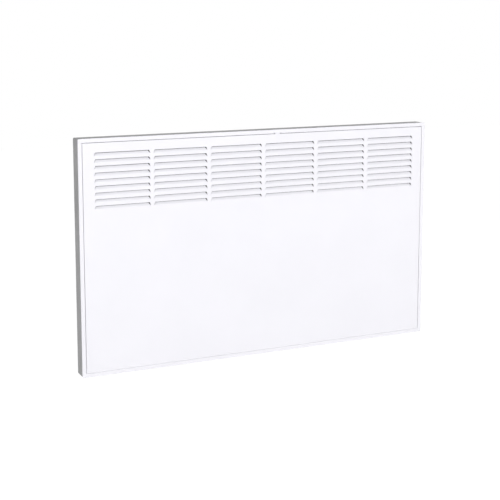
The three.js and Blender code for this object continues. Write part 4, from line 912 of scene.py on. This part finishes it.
# %% Make the catch
catch_low, catch_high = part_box("panel_catch")
border_width, catch_proud, catch_fit = 0.0075, 0.00008, 0.00003
tongue_sheet, clip_arm = 0.0010, 0.0050
groove_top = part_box("front_border")[1].z - border_width - catch_fit
groove_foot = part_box("front_panel")[1].z + catch_fit
catch_face, catch_back = catch_low.y - catch_proud, catch_high.y
inner_face, arm_end = catch_back - tongue_sheet, catch_back - clip_arm
section = [
    (catch_face, groove_foot), (catch_face, groove_top),
    (inner_face, groove_top), (inner_face, catch_high.z - tongue_sheet),
    (arm_end, catch_high.z - tongue_sheet), (arm_end, catch_high.z),
    (catch_back, catch_high.z), (catch_back, catch_low.z), (arm_end, catch_low.z),
    (arm_end, catch_low.z + tongue_sheet), (inner_face, catch_low.z + tongue_sheet),
    (inner_face, groove_foot)]
catch_shape = bmesh.new()
start = catch_shape.faces.new([catch_shape.verts.new((catch_low.x, y, z)) for y, z in section])
pull(catch_shape, [start], (catch_high.x - catch_low.x, 0, 0))
bmesh.ops.recalc_face_normals(catch_shape, faces=catch_shape.faces)
soften(catch_shape, [e for e in catch_shape.edges if e.calc_face_angle() > sharp], 0.0001, 2)
finish_piece(mesh_object("catch", catch_shape), "heater", "white_paint", "panel_catch")
print("catch", round((catch_high.x - catch_low.x) * 1000, 1), "mm wide")

# %% [markdown]
# ## Finned element
# The real element is an aluminium extrusion of X section, and its wings are slit every few
# millimetres so that the heat leaves them before it reaches the ends. One section face is enough:
# it is extruded along the element again and again, and at each slit its wing tips are pulled in to
# the core and let out again. The journals at the ends are turned.

# %% Measure the element
element_low, element_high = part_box("heating_element")
element_middle = (element_low + element_high) / 2
reach_x = (element_high.x - element_low.x) / 2
fin_half = 0.286
fin_count, fin_reach, core_reach = 71, 0.0260, 0.0120
fin_pitch = 2 * fin_half / fin_count
fin_share, slit_share = 0.6, 0.4  # of the pitch
print("fin pitch:", round(fin_pitch * 1000, 2), "mm")

# %% Draw the section and extrude it fin by fin
hub, wing_root, wing_starts = 0.008, 0.0076, 0.0095
root_half, tip_half = 0.0025, 0.0012


def wing_section(shape):
    """One face with four wings on a round hub, in X and Y."""
    outline = [(wing_root, -root_half), (fin_reach, -tip_half)]
    outline += [(fin_reach, tip_half), (wing_root, root_half)]
    outline += [(hub * math.cos(a), hub * math.sin(a)) for a in map(math.radians, (30, 45, 60))]
    corners = []
    for wing in range(4):
        turn = Matrix.Rotation(math.pi / 4 + wing * math.pi / 2, 4, "Z")
        corners += [shape.verts.new(turn @ Vector((x, y, 0))) for x, y in outline]
    return shape.faces.new(corners)


def reach_to(face, reach):
    """Move the wing tips of a section face to that reach from the axis."""
    for corner in face.verts:
        flat = Vector((corner.co.x, corner.co.y))
        if flat.length > wing_starts:
            flat = flat.normalized() * reach
            corner.co.x, corner.co.y = flat.x, flat.y


element_shape = bmesh.new()
end = wing_section(element_shape)
bmesh.ops.duplicate(element_shape, geom=[end])
for number in range(fin_count):
    end = grow(element_shape, end, fin_share * fin_pitch)
    if number < fin_count - 1:
        end = grow(element_shape, end, 0.0)
        reach_to(end, core_reach)
        end = grow(element_shape, end, slit_share * fin_pitch)
        end = grow(element_shape, end, 0.0)
        reach_to(end, fin_reach)
bmesh.ops.remove_doubles(element_shape, verts=element_shape.verts, dist=1e-7)
bmesh.ops.recalc_face_normals(element_shape, faces=element_shape.faces)
fins_length = (fin_count - slit_share) * fin_pitch
to_start = Matrix.Translation((0, 0, -fins_length / 2))
bmesh.ops.transform(
    element_shape, verts=element_shape.verts,
    matrix=Matrix.Translation(element_middle) @ towards_right @ to_start)
print("element loops extruded, corners:", len(element_shape.verts))

# %% Add the journals, pins and tabs
journal, pin, journal_chamfer = 0.005, 0.002, 0.0004
pin_end, pin_start = reach_x - 0.0065, reach_x - 0.0135
half = [
    (0.0, pin_end), (pin, pin_end), (pin, pin_start), (journal - journal_chamfer, pin_start),
    (journal, pin_start - journal_chamfer)]
turned = spun([(radius, -along) for radius, along in half] + half[::-1], 24)
absorb(element_shape, turned, Matrix.Translation(element_middle) @ towards_right)
tab_length, tab_thick, tab_width = 0.0075, 0.0008, 0.0063
for side in (-1, 1):
    tab = block((tab_length, tab_thick, tab_width))
    soften(tab, list(tab.edges), 0.0002, 1)
    absorb(element_shape, tab, Matrix.Translation(
        element_middle + Vector((side * (reach_x - tab_length / 2), 0, 0))))
element = finish_piece(
    mesh_object("finned_element", element_shape), "heater", "cast_aluminium", "heating_element")
print("element faces:", len(element.data.polygons))

# %% [markdown]
# ## Close
# The CAD model's box is printed. The visual model has to stay in the CAD model's box.

# %% Print the CAD box
print("CAD box   ", [[round(v, 4) for v in c] for c in cad_box])
